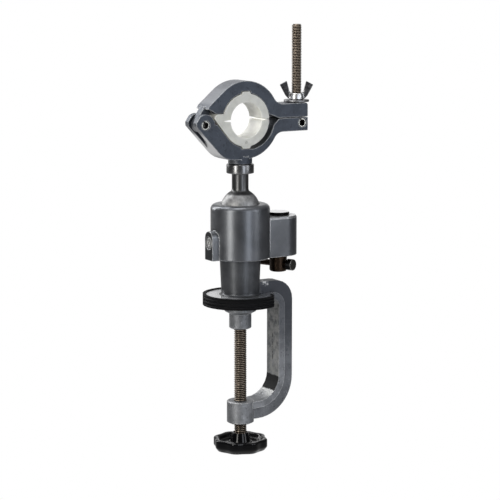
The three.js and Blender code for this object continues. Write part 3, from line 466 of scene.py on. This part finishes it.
def bracket_metal(name, dark, light):
    """The bracket's casting, with a mask for each place that has a finish of its own."""
    s = Surface(name, Metallic=0.6, IOR=1.5)
    x, y, z = s.along("XYZ")
    colour, drift, fleck = cast_pattern(s, dark, light, wear_and_highlight=0.7)
    flat_sides = s.side_faces()
    from_axis = (x * x + y * y) ** 0.5
    pillar = 1 - from_axis.step(PILLAR_RADIUS, PILLAR_RADIUS + 0.0005)
    pillar = pillar * z.step(PILLAR_BOTTOM, PILLAR_BOTTOM + 0.0004)
    level = z.step(PLATE_BOTTOM - 0.0015, PLATE_BOTTOM) * (1 - z.step(PLATE_TOP, PLATE_TOP + 0.0015))
    plate = level * s.facing_up() * (1 - pillar)
    web = y.near(0, WEB_HALF_WIDTH, 0.0003) * flat_sides
    # The arm is darker towards its top bend; the recessed web is darkened a little as painted shade.
    darker_upward = (s.noise(0.012) * 0.03 + z).step(-0.055, 0.012) * (1 - pillar) * (1 - plate)
    colour = (darker_upward * 0.72 + web * 0.25).blend(colour, (0.040, 0.043, 0.052))

    throat = x.step(0.017, 0.026) * (1 - x.step(INNER_BEND_X - 0.003, INNER_BEND_X))
    throat = throat * (1 - z.step(-0.004, 0.001)) * (1 - flat_sides)
    dust = s.noise(0.005, detail=5, roughness=0.7).step(0.35, 0.6)
    colour = (throat * dust * 0.5).blend(colour, (0.40, 0.40, 0.38))
    parting_line = y.near(0.0005, 0.0006, 0.0003) * z.near(PARTING_LINE_Z, 0.009, 0.003) * throat
    broken = s.noise(0.003).step(0.40, 0.46)
    colour = (parting_line * broken * 0.8).blend(colour, (0.020, 0.020, 0.022))
    # A dark patch on the inner bend, darker and rougher than the casting round it.
    dark_mark = (s.noise(0.003) * 0.002 + z).near(DARK_PATCH_Z, 0.0050, 0.0012) * (1 - flat_sides)
    dark_mark = dark_mark * (1 - x.step(INNER_BEND_X, INNER_BEND_X + 0.0005))
    colour = dark_mark.blend(colour, (0.006, 0.006, 0.007))

    arm_root = x.near(CHIPS_X, 0.0020, 0.0018) * z.near(CHIPS_Z, 0.0022, 0.0018) * (1 - pillar)
    chipped = s.noise(0.0022, detail=5, stretch=(1, 1, 2.2), roughness=0.8).step(0.50, 0.60)
    colour = (arm_root * chipped * 0.9).blend(colour, (0.70, 0.70, 0.70))
    machined = drift.step(0.3, 0.7).blend((0.042, 0.044, 0.049), (0.058, 0.061, 0.067))
    colour = (pillar * 0.92).blend(colour, machined)
    # The plate's top is painted light, most on its left: a painted highlight.
    painted_highlight_left = (s.noise(0.012, detail=4, roughness=0.6) * 0.02 - x).step(0.014, 0.030)
    painted_highlight = plate * painted_highlight_left + plate * 0.15
    s.set(Base_Color=(painted_highlight * 0.42).blend(colour, (0.75, 0.75, 0.76)))
    rough = drift * 0.16 + fleck * 0.1 + 0.36
    s.set(Roughness=rough * (1 - plate * 0.6) - pillar * 0.08 + dark_mark * 0.3)
    pits = s.noise(0.0009) * 0.7 + s.cells(0.0018).step(0.02, 0.28) * 0.4
    s.bump(pits * (1 - pillar * 0.9) * (1 - plate * 0.6), 0.00022)


bracket_metal("bracket", (0.15, 0.155, 0.165), (0.25, 0.255, 0.27))
print("bracket has", len(look_of["bracket"].node_tree.nodes), "nodes")

# %% [markdown]
# ## Housing
# The barrel wears a smooth satin enamel with a faint orange peel. A thin rough coat over a
# metallic base gives the wide, soft highlight that paint alone would not. Scuffs are bright, edges
# are lightened as wear and as a painted highlight line, hollows are darkened as painted shade, the
# small left boss is lighter with a dark end face, and the top of the lug carries a painted highlight.

# %% Housing
BOSS_X, BOSS_FACE_X = -0.0225, -0.0284


def satin_metal(name, dark, light, rough, lug_top):
    """Smooth enamel with orange peel, scuffs, edges lightened as wear and as a painted highlight,
    painted shade in hollows, and a painted highlight on the lug's top at lug_top.
    """
    s = Surface(name, Metallic=0.85, IOR=1.5, Coat_Weight=0.35, Coat_Roughness=0.26)
    x, z = s.along("XZ")
    drift = s.noise(0.02)
    scuff = s.noise(0.0016, detail=5, stretch=(1, 1, 0.5), roughness=0.75).step(0.66, 0.74)
    hollow = s.hollows(0.004)
    # Edges are lightened: partly wear, partly a painted highlight line.
    edge_wear_and_highlight = s.edges(0.0009) * (1 - hollow)
    base = drift.step(0.35, 0.65).blend(dark, light)
    boss = 1 - x.step(BOSS_X - 0.0015, BOSS_X)
    boss_face = 1 - x.step(BOSS_FACE_X - 0.0003, BOSS_FACE_X)
    base = (boss * 0.8).blend(base, (0.150, 0.157, 0.170))
    base = boss_face.blend(base, (0.034, 0.036, 0.040))
    # Hollows are darkened almost to black as painted shade.
    base = (hollow * 0.85).blend(base, (0.010, 0.011, 0.012))
    # The top of the lug is painted almost white: a painted highlight.
    painted_light = s.facing_up() * z.near(lug_top, 0.0006, 0.0004) * (1 - hollow)
    base = (edge_wear_and_highlight * 0.85 + scuff * 0.3 + painted_light * 0.8).blend(base, (0.72, 0.72, 0.73))
    s.set(Base_Color=base, Roughness=drift * 0.12 + s.noise(0.0006) * 0.06 + rough - painted_light * 0.1)
    s.bump(s.noise(0.0014, detail=2), 0.00004)


satin_metal("satin_grey", (0.080, 0.084, 0.093), (0.108, 0.113, 0.124), rough=0.27, lug_top=0.069)
print("satin_grey has", len(look_of["satin_grey"].node_tree.nodes), "nodes")

# %% [markdown]
# ## Turned steel
# Rods, nuts, screws and washers came off a lathe, so their highlights are drawn into fine rings
# round Z. Stretched noise in the roughness does that, and no texture has to be wrapped. Oil and
# age leave dark stains. The pieces differ only in colour, roughness and stains, so one function
# makes them all.


# %% Turned steel
def turned_steel(name, colour, rough, dark_mark=(0.1, 0.09, 0.08), stained=0.2):
    """Turned steel: fine rings round Z in the roughness, and a few dark stains."""
    s = Surface(name, Metallic=1.0)
    rings = s.noise(0.004, detail=4, stretch=(0.05, 0.05, 22), roughness=0.7)
    spots = s.noise(0.003, detail=4, roughness=0.7).step(0.58, 0.74)
    s.set(Base_Color=(spots * stained).blend(colour, dark_mark))
    s.set(Roughness=rings * 0.12 + spots * 0.2 + rough)
    s.bump(rings, 0.00001)


turned_steel("dark_steel", (0.030, 0.020, 0.014), rough=0.33)
turned_steel("bright_steel", (0.50, 0.50, 0.51), rough=0.12)
turned_steel("zinc_steel", (0.30, 0.30, 0.31), rough=0.30)
turned_steel("screw_head", (0.60, 0.60, 0.60), rough=0.28)
turned_steel("cap", (0.15, 0.145, 0.14), rough=0.13, dark_mark=(0.02, 0.018, 0.016), stained=0.7)
turned_steel("washer", (0.16, 0.16, 0.165), rough=0.34)
print(len(look_of), "materials with the turned steels")

# %% [markdown]
# ## Small steel pieces
# The ends of the two rolled pins are bright round a bore that is painted black as shade. The wing
# nut is dull zinc with light edges, painted as highlight lines, and a brighter hub. The lock bolt is
# blackened, and its top face is painted near white as a highlight. The threads are brown with oil,
# their crests painted light as wear and as a highlight and their roots near black as painted shade:
# their meshes are dense, so the curvature of the mesh itself, Pointiness, tells crest from root.


# %% Small steel pieces
def pin_steel(name):
    """A rolled pin: bright end ring, and a bore painted black as shade."""
    s = Surface(name, Metallic=1.0)
    # The bore is painted black as shade, from the ambient occlusion.
    hollow = s.hollows(0.007, 0.45, 0.7)
    spots = s.noise(0.0012, roughness=0.7).step(0.5, 0.75)
    s.set(Base_Color=hollow.blend((0.42, 0.42, 0.40), (0.004, 0.004, 0.004)))
    s.set(Roughness=spots * 0.2 + 0.22)
    s.bump(spots, 0.00001)


def wing_steel(name, nut_x, hub):
    """Zinc plated wing nut: dull wings, light edges painted as highlight lines, and a brighter
    turned hub of this radius.
    """
    s = Surface(name, Metallic=1.0)
    x, y = s.along("XY")
    across = x - nut_x
    on_hub = 1 - ((across * across + y * y) ** 0.5).step(hub, hub + 0.0004)
    grain = s.noise(0.002, detail=5, roughness=0.7)
    dull = grain.step(0.35, 0.65).blend((0.055, 0.055, 0.058), (0.105, 0.105, 0.11))
    colour = (on_hub * 0.85).blend(dull, (0.60, 0.60, 0.60))
    # Edges are painted light as highlight lines.
    s.set(Base_Color=(s.edges(0.0005) * 0.65).blend(colour, (0.7, 0.7, 0.7)))
    s.set(Roughness=grain * 0.25 + 0.28 - on_hub * 0.08)
    s.bump(grain, 0.00004)


def blackened_bolt(name):
    """A blackened bolt head whose top face is painted near white as a highlight; the black starts at a
    wavy line.
    """
    s = Surface(name, Metallic=1.0)
    # The top face is painted near white: a painted highlight.
    painted_light = (s.facing_up() - s.noise(0.002) * 0.4).step(0.1, 0.5)
    ground = s.noise(0.0012, detail=4, stretch=(1, 8, 1), roughness=0.7)
    s.set(Base_Color=painted_light.blend((0.010, 0.009, 0.009), (0.97, 0.97, 0.97)))
    s.set(Roughness=ground * 0.2 + 0.25)
    s.bump(ground, 0.00001)


def thread_steel(name, crest, root):
    """Oiled brown thread: crests painted light as wear and as a highlight, roots almost black as painted
    shade.
    """
    s = Surface(name, Metallic=0.9)
    dirt = s.noise(0.0022, detail=4, roughness=0.7).step(0.35, 0.7)
    # Crests are painted light as wear and as a highlight; roots are painted near black as shade.
    base = s.crests().step(0.49, 0.56).blend(root, crest)
    s.set(Base_Color=(dirt * 0.35).blend(base, (0.08, 0.055, 0.04)))
    s.set(Roughness=dirt * 0.2 + 0.26)
    s.bump(s.noise(0.0004), 0.00002)


pin_steel("pin")
wing_steel("wing", nut_x=0.052, hub=0.0061)
blackened_bolt("bolt_head")
thread_steel("thread", crest=(0.30, 0.25, 0.20), root=(0.004, 0.003, 0.002))
print(len(look_of), "materials with the small steel pieces")

# %% [markdown]
# ## Ball stud's steel
# The ball is polished, but its seat scuffs it, and the ball is darker in a band under the neck. The
# neck itself is dark and the flange above it is clean. Masks by height keep these on one piece.


# %% Ball stud's steel
def stud_steel(name, ball_top, flange_bottom):
    """Polished stud: a ball scuffed by its seat and darker in a band under the neck, a dark neck, a clean
    flange.
    """
    s = Surface(name, Metallic=1.0)
    z = s.place.part("Z")
    ball = 1 - z.step(ball_top - 0.0006, ball_top + 0.0006)
    flange = z.step(flange_bottom - 0.0004, flange_bottom)
    mottle = s.noise(0.0035, detail=5, roughness=0.75)
    rings = s.noise(0.004, detail=4, stretch=(0.05, 0.05, 22), roughness=0.7)
    scuffed = mottle.step(0.30, 0.70).blend((0.17, 0.17, 0.175), (0.33, 0.33, 0.33))
    # A darker band on the ball, just under the neck.
    dark_band = (z + mottle * 0.0035).step(ball_top - 0.0012, ball_top)
    scuffed = (dark_band * 0.9).blend(scuffed, (0.030, 0.030, 0.032))
    colour = ball.blend((0.085, 0.085, 0.087), scuffed)
    s.set(Base_Color=flange.blend(colour, (0.17, 0.17, 0.175)))
    s.set(Roughness=ball * 0.10 + ball * mottle * 0.16 + rings * 0.08 + 0.29 - flange * 0.06)
    s.bump(mottle * ball + rings * 0.2, 0.00006)


stud_steel("stud", ball_top=0.0903, flange_bottom=0.1045)
print("stud has", len(look_of["stud"].node_tree.nodes), "nodes")

# %% [markdown]
# ## Sleeve
# The split sleeve is milky nylon. Light enters it and comes out beside, which subsurface
# scattering does, while white paint would look hard. A painted glow, emission from a part that is
# no lamp, lights the thin lips of its split, faintly its bore and the whole sleeve, and the mark of
# the moulding gate is a shallow dimple in the front face.


# %% Sleeve
def nylon(name, centre_z, bore, dimple_drop):
    """Milky nylon: light spreads inside it, a painted glow lights its split's thin lips and bore, a gate
    mark dimples its face.
    """
    s = Surface(
        name,
        IOR=1.53,
        Subsurface_Weight=0.6,
        Subsurface_Radius=(0.005, 0.005, 0.0045),
        Subsurface_Scale=1.0,
        Emission_Strength=1.0,
    )
    x, y, z = s.along("XYZ")
    cloud = s.noise(0.006)
    dust = s.noise(0.0008, roughness=0.8).step(0.66, 0.78)
    tint = cloud.step(0.3, 0.7).blend((0.46, 0.455, 0.42), (0.54, 0.535, 0.50))
    tint = (dust * 0.25).blend(tint, (0.33, 0.33, 0.31))
    drop = z - (centre_z - dimple_drop)
    dimple = (1 - ((x * x + drop * drop) ** 0.5).step(0.0010, 0.0015)) * (1 - y.step(-0.009, -0.008))
    above = z - centre_z
    radius = (x * x + above * above) ** 0.5
    lips = z.near(centre_z, 0.0002, 0.0006) * (1 - radius.step(bore + 0.003, bore + 0.006))
    lips = lips * s.hollows(0.003)
    inside = 1 - radius.step(bore + 0.0004, bore + 0.0008)
    s.set(Base_Color=(dimple * 0.5).blend(tint, (0.22, 0.22, 0.20)))
    # Emission is a painted glow: strong on the split's thin lips, faint in the bore and over the whole
    # sleeve.
    painted_glow = (inside * 0.05 + lips * 0.8 + 0.03).blend((0, 0, 0), (1, 1, 0.96))
    s.set(Emission_Color=painted_glow, Roughness=cloud * 0.2 + 0.35)
    s.bump(s.noise(0.0012) * 0.1 - dimple, 0.0003)


nylon("white_nylon", centre_z=0.1468, bore=0.01415, dimple_drop=0.0177)
print("white_nylon has", len(look_of["white_nylon"].node_tree.nodes), "nodes")

# %% [markdown]
# ## Pad and knob
# The table pad is matte black rubber with moulded ribs round its wall. They are fine and shallow,
# so a sine of the height in the bump is enough. The knob is black plastic with a hard gloss: its
# colour is almost nothing, and what the eye reads is the reflection of lamps and walls, a little
# broken by the flow of the moulding and by hair scratches.

# %% Pad and knob
RIB_PITCH = 0.0027


def rubber(name):
    """Matte black rubber with a fine grain, moulded ribs round its wall, and a few pale scuffs."""
    s = Surface(name, IOR=1.45, Specular_IOR_Level=0.07)
    grain = s.noise(0.0007)
    scuff = s.noise(0.004, detail=6, stretch=(1, 1, 4), roughness=0.8).step(0.62, 0.8)
    rim = s.edges(0.0006) * 0.5
    s.set(Base_Color=(scuff * 0.2 + rim * 0.5).blend((0.003, 0.003, 0.0035), (0.06, 0.06, 0.065)))
    s.set(Roughness=grain * 0.25 + 0.45)
    phase = s.place.part("Z") * (2 * pi / RIB_PITCH)
    ribs = phase.maths("SINE", phase)
    s.bump(ribs * (1 - s.facing_up()) * 0.5 + grain * 0.15, 0.0006)


def glossy_plastic(name):
    """Black moulded plastic with a hard gloss, a faint flow ripple and hair scratches."""
    s = Surface(name, IOR=1.45, Specular_IOR_Level=0.20, Coat_Weight=0.12, Coat_Roughness=0.04)
    ripple = s.noise(0.008, detail=2)
    hair = s.noise(0.0015, detail=6, stretch=(1, 6, 1), roughness=0.8).step(0.62, 0.75)
    s.set(Base_Color=(hair * 0.1).blend((0.0015, 0.0015, 0.002), (0.02, 0.02, 0.02)))
    s.set(Roughness=ripple * 0.08 + hair * 0.04 + 0.10)
    s.bump(ripple, 0.00006)


rubber("black_rubber")
glossy_plastic("black_plastic")
print(len(look_of), "materials in all")

# %% [markdown]
# ## Softened copies of the CAD solids
# No real edge is perfectly sharp: each catches a thin line of light. A copy keeps the solid's exact
# shape, its flat regions are joined into single faces, its sharp edges get a small bevel, and
# weighted normals keep flat faces flat beside it. Each copy rides on its solid's body.

# %% Softened copies of the CAD solids
SAME_POINT = 2e-6
FLAT_WITHIN = radians(0.6)
SHARP_OVER = radians(28)


def stand_in(piece, node):
    """Ties a new piece to the CAD node that it stands for: the piece rides the node's body, and the node
    is hidden.
    """
    scene.collection.objects.link(piece)
    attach(piece, bodies[node])
    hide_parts(node)


def softened(node, bevel, look=None, clamp=False):
    """A copy of a CAD node with bevelled edges; bevel in millimetres."""
    piece = bpy.data.objects.new(node + "_dressed", frame["nodes"][node].data.copy())
    mesh = bmesh.new()
    mesh.from_mesh(piece.data)
    bmesh.ops.remove_doubles(mesh, verts=mesh.verts, dist=SAME_POINT)
    bmesh.ops.dissolve_degenerate(mesh, edges=mesh.edges, dist=SAME_POINT)
    bmesh.ops.dissolve_limit(mesh, angle_limit=FLAT_WITHIN, verts=mesh.verts, edges=mesh.edges)
    mesh.to_mesh(piece.data)
    mesh.free()
    piece.data.shade_smooth()
    piece.data.materials.clear()
    piece.data.materials.append(look_of[look or slot_of[node]])
    rounding = piece.modifiers.new("bevel", "BEVEL")
    rounding.width = bevel * MM
    rounding.segments = 2
    rounding.limit_method = "ANGLE"
    rounding.angle_limit = SHARP_OVER
    rounding.use_clamp_overlap = clamp
    weighted = piece.modifiers.new("flat faces stay flat", "WEIGHTED_NORMAL")
    weighted.mode = "FACE_AREA"
    weighted.weight = 80
    weighted.keep_sharp = False
    stand_in(piece, node)
    return piece


print("bevels start at edges of", round(SHARP_OVER * 180 / pi), "degrees")

# %% [markdown]
# ## Pieces with the CAD's own shape
# Nineteen pieces need nothing but soft edges. Castings, the wing nut and the end caps have wide
# ones and the rest narrow ones, which are also clamped, so that they can't overrun a small face.
# The CAD's own nodes get their slot's material and otherwise stay as they are.

# %% Pieces with the CAD's own shape
for name, node in frame["nodes"].items():
    node.data.materials.clear()
    node.data.materials.append(look_of[slot_of[name]])

CLAMP_UNDER = 0.3
special_look = {
    "lock_bolt": "bolt_head",
    "fulcrum_screw": "screw_head",
    "flat_washer": "washer",
    "tommy_bar_cap_front": "cap",
    "tommy_bar_cap_rear": "cap",
    "wing_nut": "wing",
}
bevels = {
    "table_pad": 0.25,
    "ball_housing": 0.45,
    "fulcrum_screw": 0.2,
    "lock_bolt": 0.2,
    "lock_nut": 0.3,
    "tommy_bar_cap_front": 0.5,
    "tommy_bar_cap_rear": 0.5,
    "lower_jaw": 0.35,
    "upper_jaw": 0.35,
    "reducing_sleeve": 0.25,
    "flat_washer": 0.25,
    "wing_nut": 0.4,
    "pressure_cup": 0.4,
    "knob_insert": 0.2,
    "tommy_bar": 0.2,
    "rocker_lever": 0.3,
    "thrust_washer": 0.2,
    "ball_seat": 0.2,
    "cup_retaining_ring": 0.1,
}
for node, bevel in bevels.items():
    softened(node, bevel, look=special_look.get(node), clamp=bevel < CLAMP_UNDER)
print(len(bevels), "softened copies of the solids")

# %% [markdown]
# ## Flange's end
# In the CAD the arm's wide flange ends flat, just before the round boss. In the photograph the
# casting flows into the boss, so the corners of the flange's end are moved into the boss's wall.
# They are the only vertices at that x with the flange's full half width. Moving the whole end face
# would twist the side of the web, which shares its inner corners.

# %% Flange's end
FLANGE_END_X = 11.0
FLANGE_HALF_WIDTH = 9.2
BOSS_WALL_X = 5.8
bracket = softened("bracket_frame", 0.5, look="bracket", clamp=True)
vertices = bracket.data.vertices
places = np.empty(3 * len(vertices), np.float32)
vertices.foreach_get("co", places)
places = places.reshape(-1, 3)
at_end = np.abs(places[:, 0] / MM - FLANGE_END_X) < 0.06
at_full_width = np.abs(np.abs(places[:, 1] / MM) - FLANGE_HALF_WIDTH) < 0.1
places[at_end & at_full_width, 0] = BOSS_WALL_X * MM
vertices.foreach_set("co", places.ravel())
bracket.data.update()
print(np.count_nonzero(at_end & at_full_width), "corners of the flange moved to the boss")

# %% [markdown]
# ## Surfaces of revolution and threads
# A turned piece is a grid of rings. A thread is the same grid with each ring's radius lowered where
# the groove passes, and the groove climbs one pitch in each turn. Whole grids are worked out at
# once with numpy, which is shorter and faster than a loop over points.


# %% Surfaces of revolution and threads
def grid_object(name, node, points, look, ring=False):
    """Mesh of a grid of points (rows, columns, 3) in metres. The columns close on themselves. The first
    and last rows get a lid each, or in a ring the rows close on themselves too."""
    rows, columns = points.shape[:2]
    index = np.arange(rows * columns).reshape(rows, columns)
    index = np.vstack([index, index[:1]]) if ring else index
    following = np.roll(index, -1, axis=1)
    quads = np.stack([index[:-1], following[:-1], following[1:], index[1:]], -1).reshape(-1, 4)
    lids = [] if ring else [index[0][::-1].tolist(), index[-1].tolist()]
    mesh = bpy.data.meshes.new(name)
    mesh.from_pydata(points.reshape(-1, 3).tolist(), [], quads.tolist() + lids)
    mesh.validate()
    mesh.shade_smooth()
    mesh.materials.append(look_of[look])
    made = bpy.data.objects.new(name, mesh)
    stand_in(made, node)
    return made


def revolved(name, node, profile, look, columns):
    """Profile of (radius, height) in millimetres turned about the clamp screw's axis."""
    profile = np.array(profile, float) * MM
    angle = np.linspace(0, 2 * pi, columns, endpoint=False)
    points = np.empty((len(profile), columns, 3))
    points[..., 0] = profile[:, :1] * np.cos(angle)
    points[..., 1] = profile[:, :1] * np.sin(angle)
    points[..., 2] = profile[:, 1:]
    return grid_object(name, node, points, look)


def rounded(profile, radius, steps=4):
    """The profile with its inner corners replaced by curves that start this far from the corner."""
    profile = np.array(profile, float)
    made = [profile[0]]
    for before, corner, after in zip(profile[:-2], profile[1:-1], profile[2:]):
        back, on = before - corner, after - corner
        reach = min(radius, 0.45 * np.hypot(*back), 0.45 * np.hypot(*on))
        start, end = corner + reach * back / np.hypot(*back), corner + reach * on / np.hypot(*on)
        t = np.linspace(0, 1, steps + 1)[:, None]
        made.extend((1 - t) ** 2 * start + 2 * t * (1 - t) * corner + t**2 * end)
    made.append(profile[-1])
    return np.array(made)


def rounded_loop(corners, radius, steps=4):
    """The same for a closed loop, where every corner is replaced."""
    return rounded(corners + corners[:2], radius, steps)[1:-1]


def threaded(name, node, radius, pitch, low, high, x=0, columns=40):
    """Threaded rod: r = radius - depth * g(z / pitch - angle / 2 pi), with g a wave of period 1. Both
    ends taper, and x is the place of the axis; all in millimetres."""
    rows_per_turn, taper_length, taper_depth = 10, 1.2, 0.9
    depth = 0.6 * pitch
    heights = np.arange(low, high, pitch / rows_per_turn)
    angle = np.linspace(0, 2 * pi, columns, endpoint=False)
    z, a = np.meshgrid(heights, angle, indexing="ij")
    wave = 0.5 + 0.5 * np.cos(2 * pi * z / pitch - a)
    full = np.clip(np.minimum(z - low, high - z) / taper_length, 0, 1)
    r = radius - depth * wave**1.3 - (1 - full) * taper_depth
    points = np.stack([x + r * np.cos(a), r * np.sin(a), z], -1) * MM
    return grid_object(name, node, points, "thread")


print("helpers for turned and threaded pieces")

# %% [markdown]
# ## Clamp screw
# The real screw is a plain M10 rod, threaded over its whole length. A modelled helix catches the
# light on every crest, which a bump map can't do at the outline, so the groove is real geometry.
# The tip inside the cup is turned down, and the lower end stays inside the knob's nut.

# %% Clamp screw
THREAD_OVER_CUP_BOTTOM = 9.7
screw_low, screw_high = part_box("clamp_screw")
screw_bottom, screw_top = screw_low.z / MM, screw_high.z / MM
thread_radius = (screw_high.x - screw_low.x) / 2 / MM
tip_radius = thread_radius - 1
thread_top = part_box("pressure_cup")[0].z / MM + THREAD_OVER_CUP_BOTTOM
tip_bottom = thread_top - 0.4
threaded("clamp_screw_thread", "clamp_screw", thread_radius, 1.5, screw_bottom, thread_top)
tip = [(0.01, tip_bottom), (tip_radius, tip_bottom), (tip_radius, screw_top), (0.01, screw_top)]
revolved("clamp_screw_tip", "clamp_screw", rounded(tip, 0.4), "dark_steel", columns=48)
print("clamp screw threaded from", round(screw_bottom, 1), "to", round(thread_top, 1), "mm")

# %% [markdown]
# ## Swing bolt
# An M8 rod that grows out of a flat-sided eye. The eye is the CAD solid, cut off above its
# shoulder, and the threaded rod starts there. Cutting keeps the eye's exact shape, which a new
# mesh would only repeat.

# %% Swing bolt
bolt_low, bolt_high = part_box("swing_bolt")
bolt_x = (bolt_low.x + bolt_high.x) / 2 / MM
eye_top = bolt_low.z / MM + (bolt_high.x - bolt_low.x) / MM
bolt_top = bolt_high.z / MM
threaded("swing_bolt_thread", "swing_bolt", 4.0, 1.25, eye_top + 0.8, bolt_top, x=bolt_x, columns=36)
eye = softened("swing_bolt", 0.3, look="dark_steel")
mesh = bmesh.new()
mesh.from_mesh(eye.data)
everything = mesh.verts[:] + mesh.edges[:] + mesh.faces[:]
cut_through = (0, 0, (eye_top + 1.6) * MM)
bmesh.ops.bisect_plane(mesh, geom=everything, plane_co=cut_through, plane_no=(0, 0, 1), clear_outer=True)
bmesh.ops.holes_fill(mesh, edges=[edge for edge in mesh.edges if edge.is_boundary])
mesh.to_mesh(eye.data)
mesh.free()
print("swing bolt thread from", round(eye_top, 1), "to", round(bolt_top, 1), "mm")

# %% [markdown]
# ## Ball stud
# The ball is polished, so a faceted outline would show at once. It is turned here from an arc,
# a slender neck with fillets at both ends, and a flange with rounded rims.

# %% Ball stud
BALL_RADIUS = 15.5
BALL_Z = 76.5
NECK_RADIUS = 6.6
FLANGE_RADIUS = 10.85
FLANGE_HEIGHT = 7.3
SPIGOT_RADIUS = 5.0
SPIGOT_HEIGHT = 10.7
neck_angle = np.arccos((NECK_RADIUS + 0.7) / BALL_RADIUS)
sweep = np.linspace(-pi / 2 + 0.02, neck_angle, 60)
ball_arc = np.stack([BALL_RADIUS * np.cos(sweep), BALL_Z + BALL_RADIUS * np.sin(sweep)], -1)
stud_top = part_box("ball_stud")[1].z / MM
flange_top = stud_top - SPIGOT_HEIGHT
flange_bottom = flange_top - FLANGE_HEIGHT
neck = rounded(
    [
        ball_arc[-1],
        (NECK_RADIUS, ball_arc[-1][1] + 1.6),
        (NECK_RADIUS, flange_bottom),
        (FLANGE_RADIUS, flange_bottom),
        (FLANGE_RADIUS, flange_top),
        (SPIGOT_RADIUS, flange_top),
        (SPIGOT_RADIUS, stud_top),
        (0.01, stud_top),
    ],
    0.8,
)
stud = revolved("ball_stud_turned", "ball_stud", np.vstack([ball_arc[:-1], neck]), "stud", columns=128)
print("ball stud turned,", len(stud.data.polygons), "faces")

# %% [markdown]
# ## Rolled pins
# A rolled pin is a strip of spring steel bent into a tube, which leaves a slit along it. The tube's
# wall is a rounded rectangle carried round the pin's axis over most of a turn, which leaves the
# slit by itself and needs no cut.

# %% Rolled pins
PIN_WALL = 0.85
SLIT_WIDTH = 24
SLIT_TURN = radians(115)


def rolled_pin(node, columns=72):
    """Tube about Y: a closed wall profile of (radius, y) carried from half the slit to 360 less that."""
    low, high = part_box(node)
    middle_x, middle_z = (low.x + high.x) / 2 / MM, (low.z + high.z) / 2 / MM
    outer = (high.x - low.x) / 2 / MM
    inner = outer - PIN_WALL
    front, back = low.y / MM, high.y / MM
    profile = rounded_loop([(inner, front), (outer, front), (outer, back), (inner, back)], 0.32)
    turn = np.radians(np.linspace(SLIT_WIDTH / 2, 360 - SLIT_WIDTH / 2, columns)) + SLIT_TURN
    points = np.empty((columns, len(profile), 3))
    points[..., 0] = middle_x + profile[:, 0] * np.cos(turn)[:, None]
    points[..., 1] = profile[:, 1]
    points[..., 2] = middle_z + profile[:, 0] * np.sin(turn)[:, None]
    grid_object(node + "_rolled", node, points * MM, "pin")


for node in ("hinge_pin", "swing_pin"):
    rolled_pin(node)
print("two rolled pins")

# %% [markdown]
# ## Knob
# A moulded wheel is one closed surface: a profile runs from the hub's bore over the dish, the rim
# and the underside back to the bore. Turning it gives a wheel, and a wave in the radius gives the
# lobes, which fade out towards the round hub. Eight cut cylinders would leave the sharp crests
# that moulded plastic never has.

# %% Knob
KNOB_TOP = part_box("hand_knob")[1].z / MM - 4.5
KNOB_RADIUS = 22.0
LOBES = 8
LOBE_DEPTH = 1.8
ROUND_WITHIN = 11
wheel = [(5.35, 4.5), (6.5, 4.5), (7.7, -0.6), (8.6, -3.6), (16.4, -3.6), (17.8, -0.8), (19.0, 0)]
wheel += [(21.2, 0), (KNOB_RADIUS, -0.8), (KNOB_RADIUS, -3.2)]
wheel += [(KNOB_RADIUS, -6.6), (19.6, -9.5), (9.5, -9.5), (9.5, -2.6), (5.35, -2.6), (5.35, 1.0)]
profile = rounded_loop(wheel, 0.9, steps=5)
angle = np.linspace(0, 2 * pi, 240, endpoint=False)
lobed = np.clip((profile[:, :1] - ROUND_WITHIN) / (KNOB_RADIUS - ROUND_WITHIN), 0, 1) ** 1.5
radius = profile[:, :1] - LOBE_DEPTH / 2 * lobed * (1 - np.cos(LOBES * angle))
height = np.repeat(KNOB_TOP + profile[:, 1:], len(angle), axis=1)
points = np.stack([radius * np.cos(angle), radius * np.sin(angle), height], -1) * MM
knob = grid_object("hand_knob_wheel", "hand_knob", points[::-1], "black_plastic", ring=True)
print("knob of", len(knob.data.polygons), "faces")

# %% [markdown]
# The dressed model has to stay inside the CAD model's box.
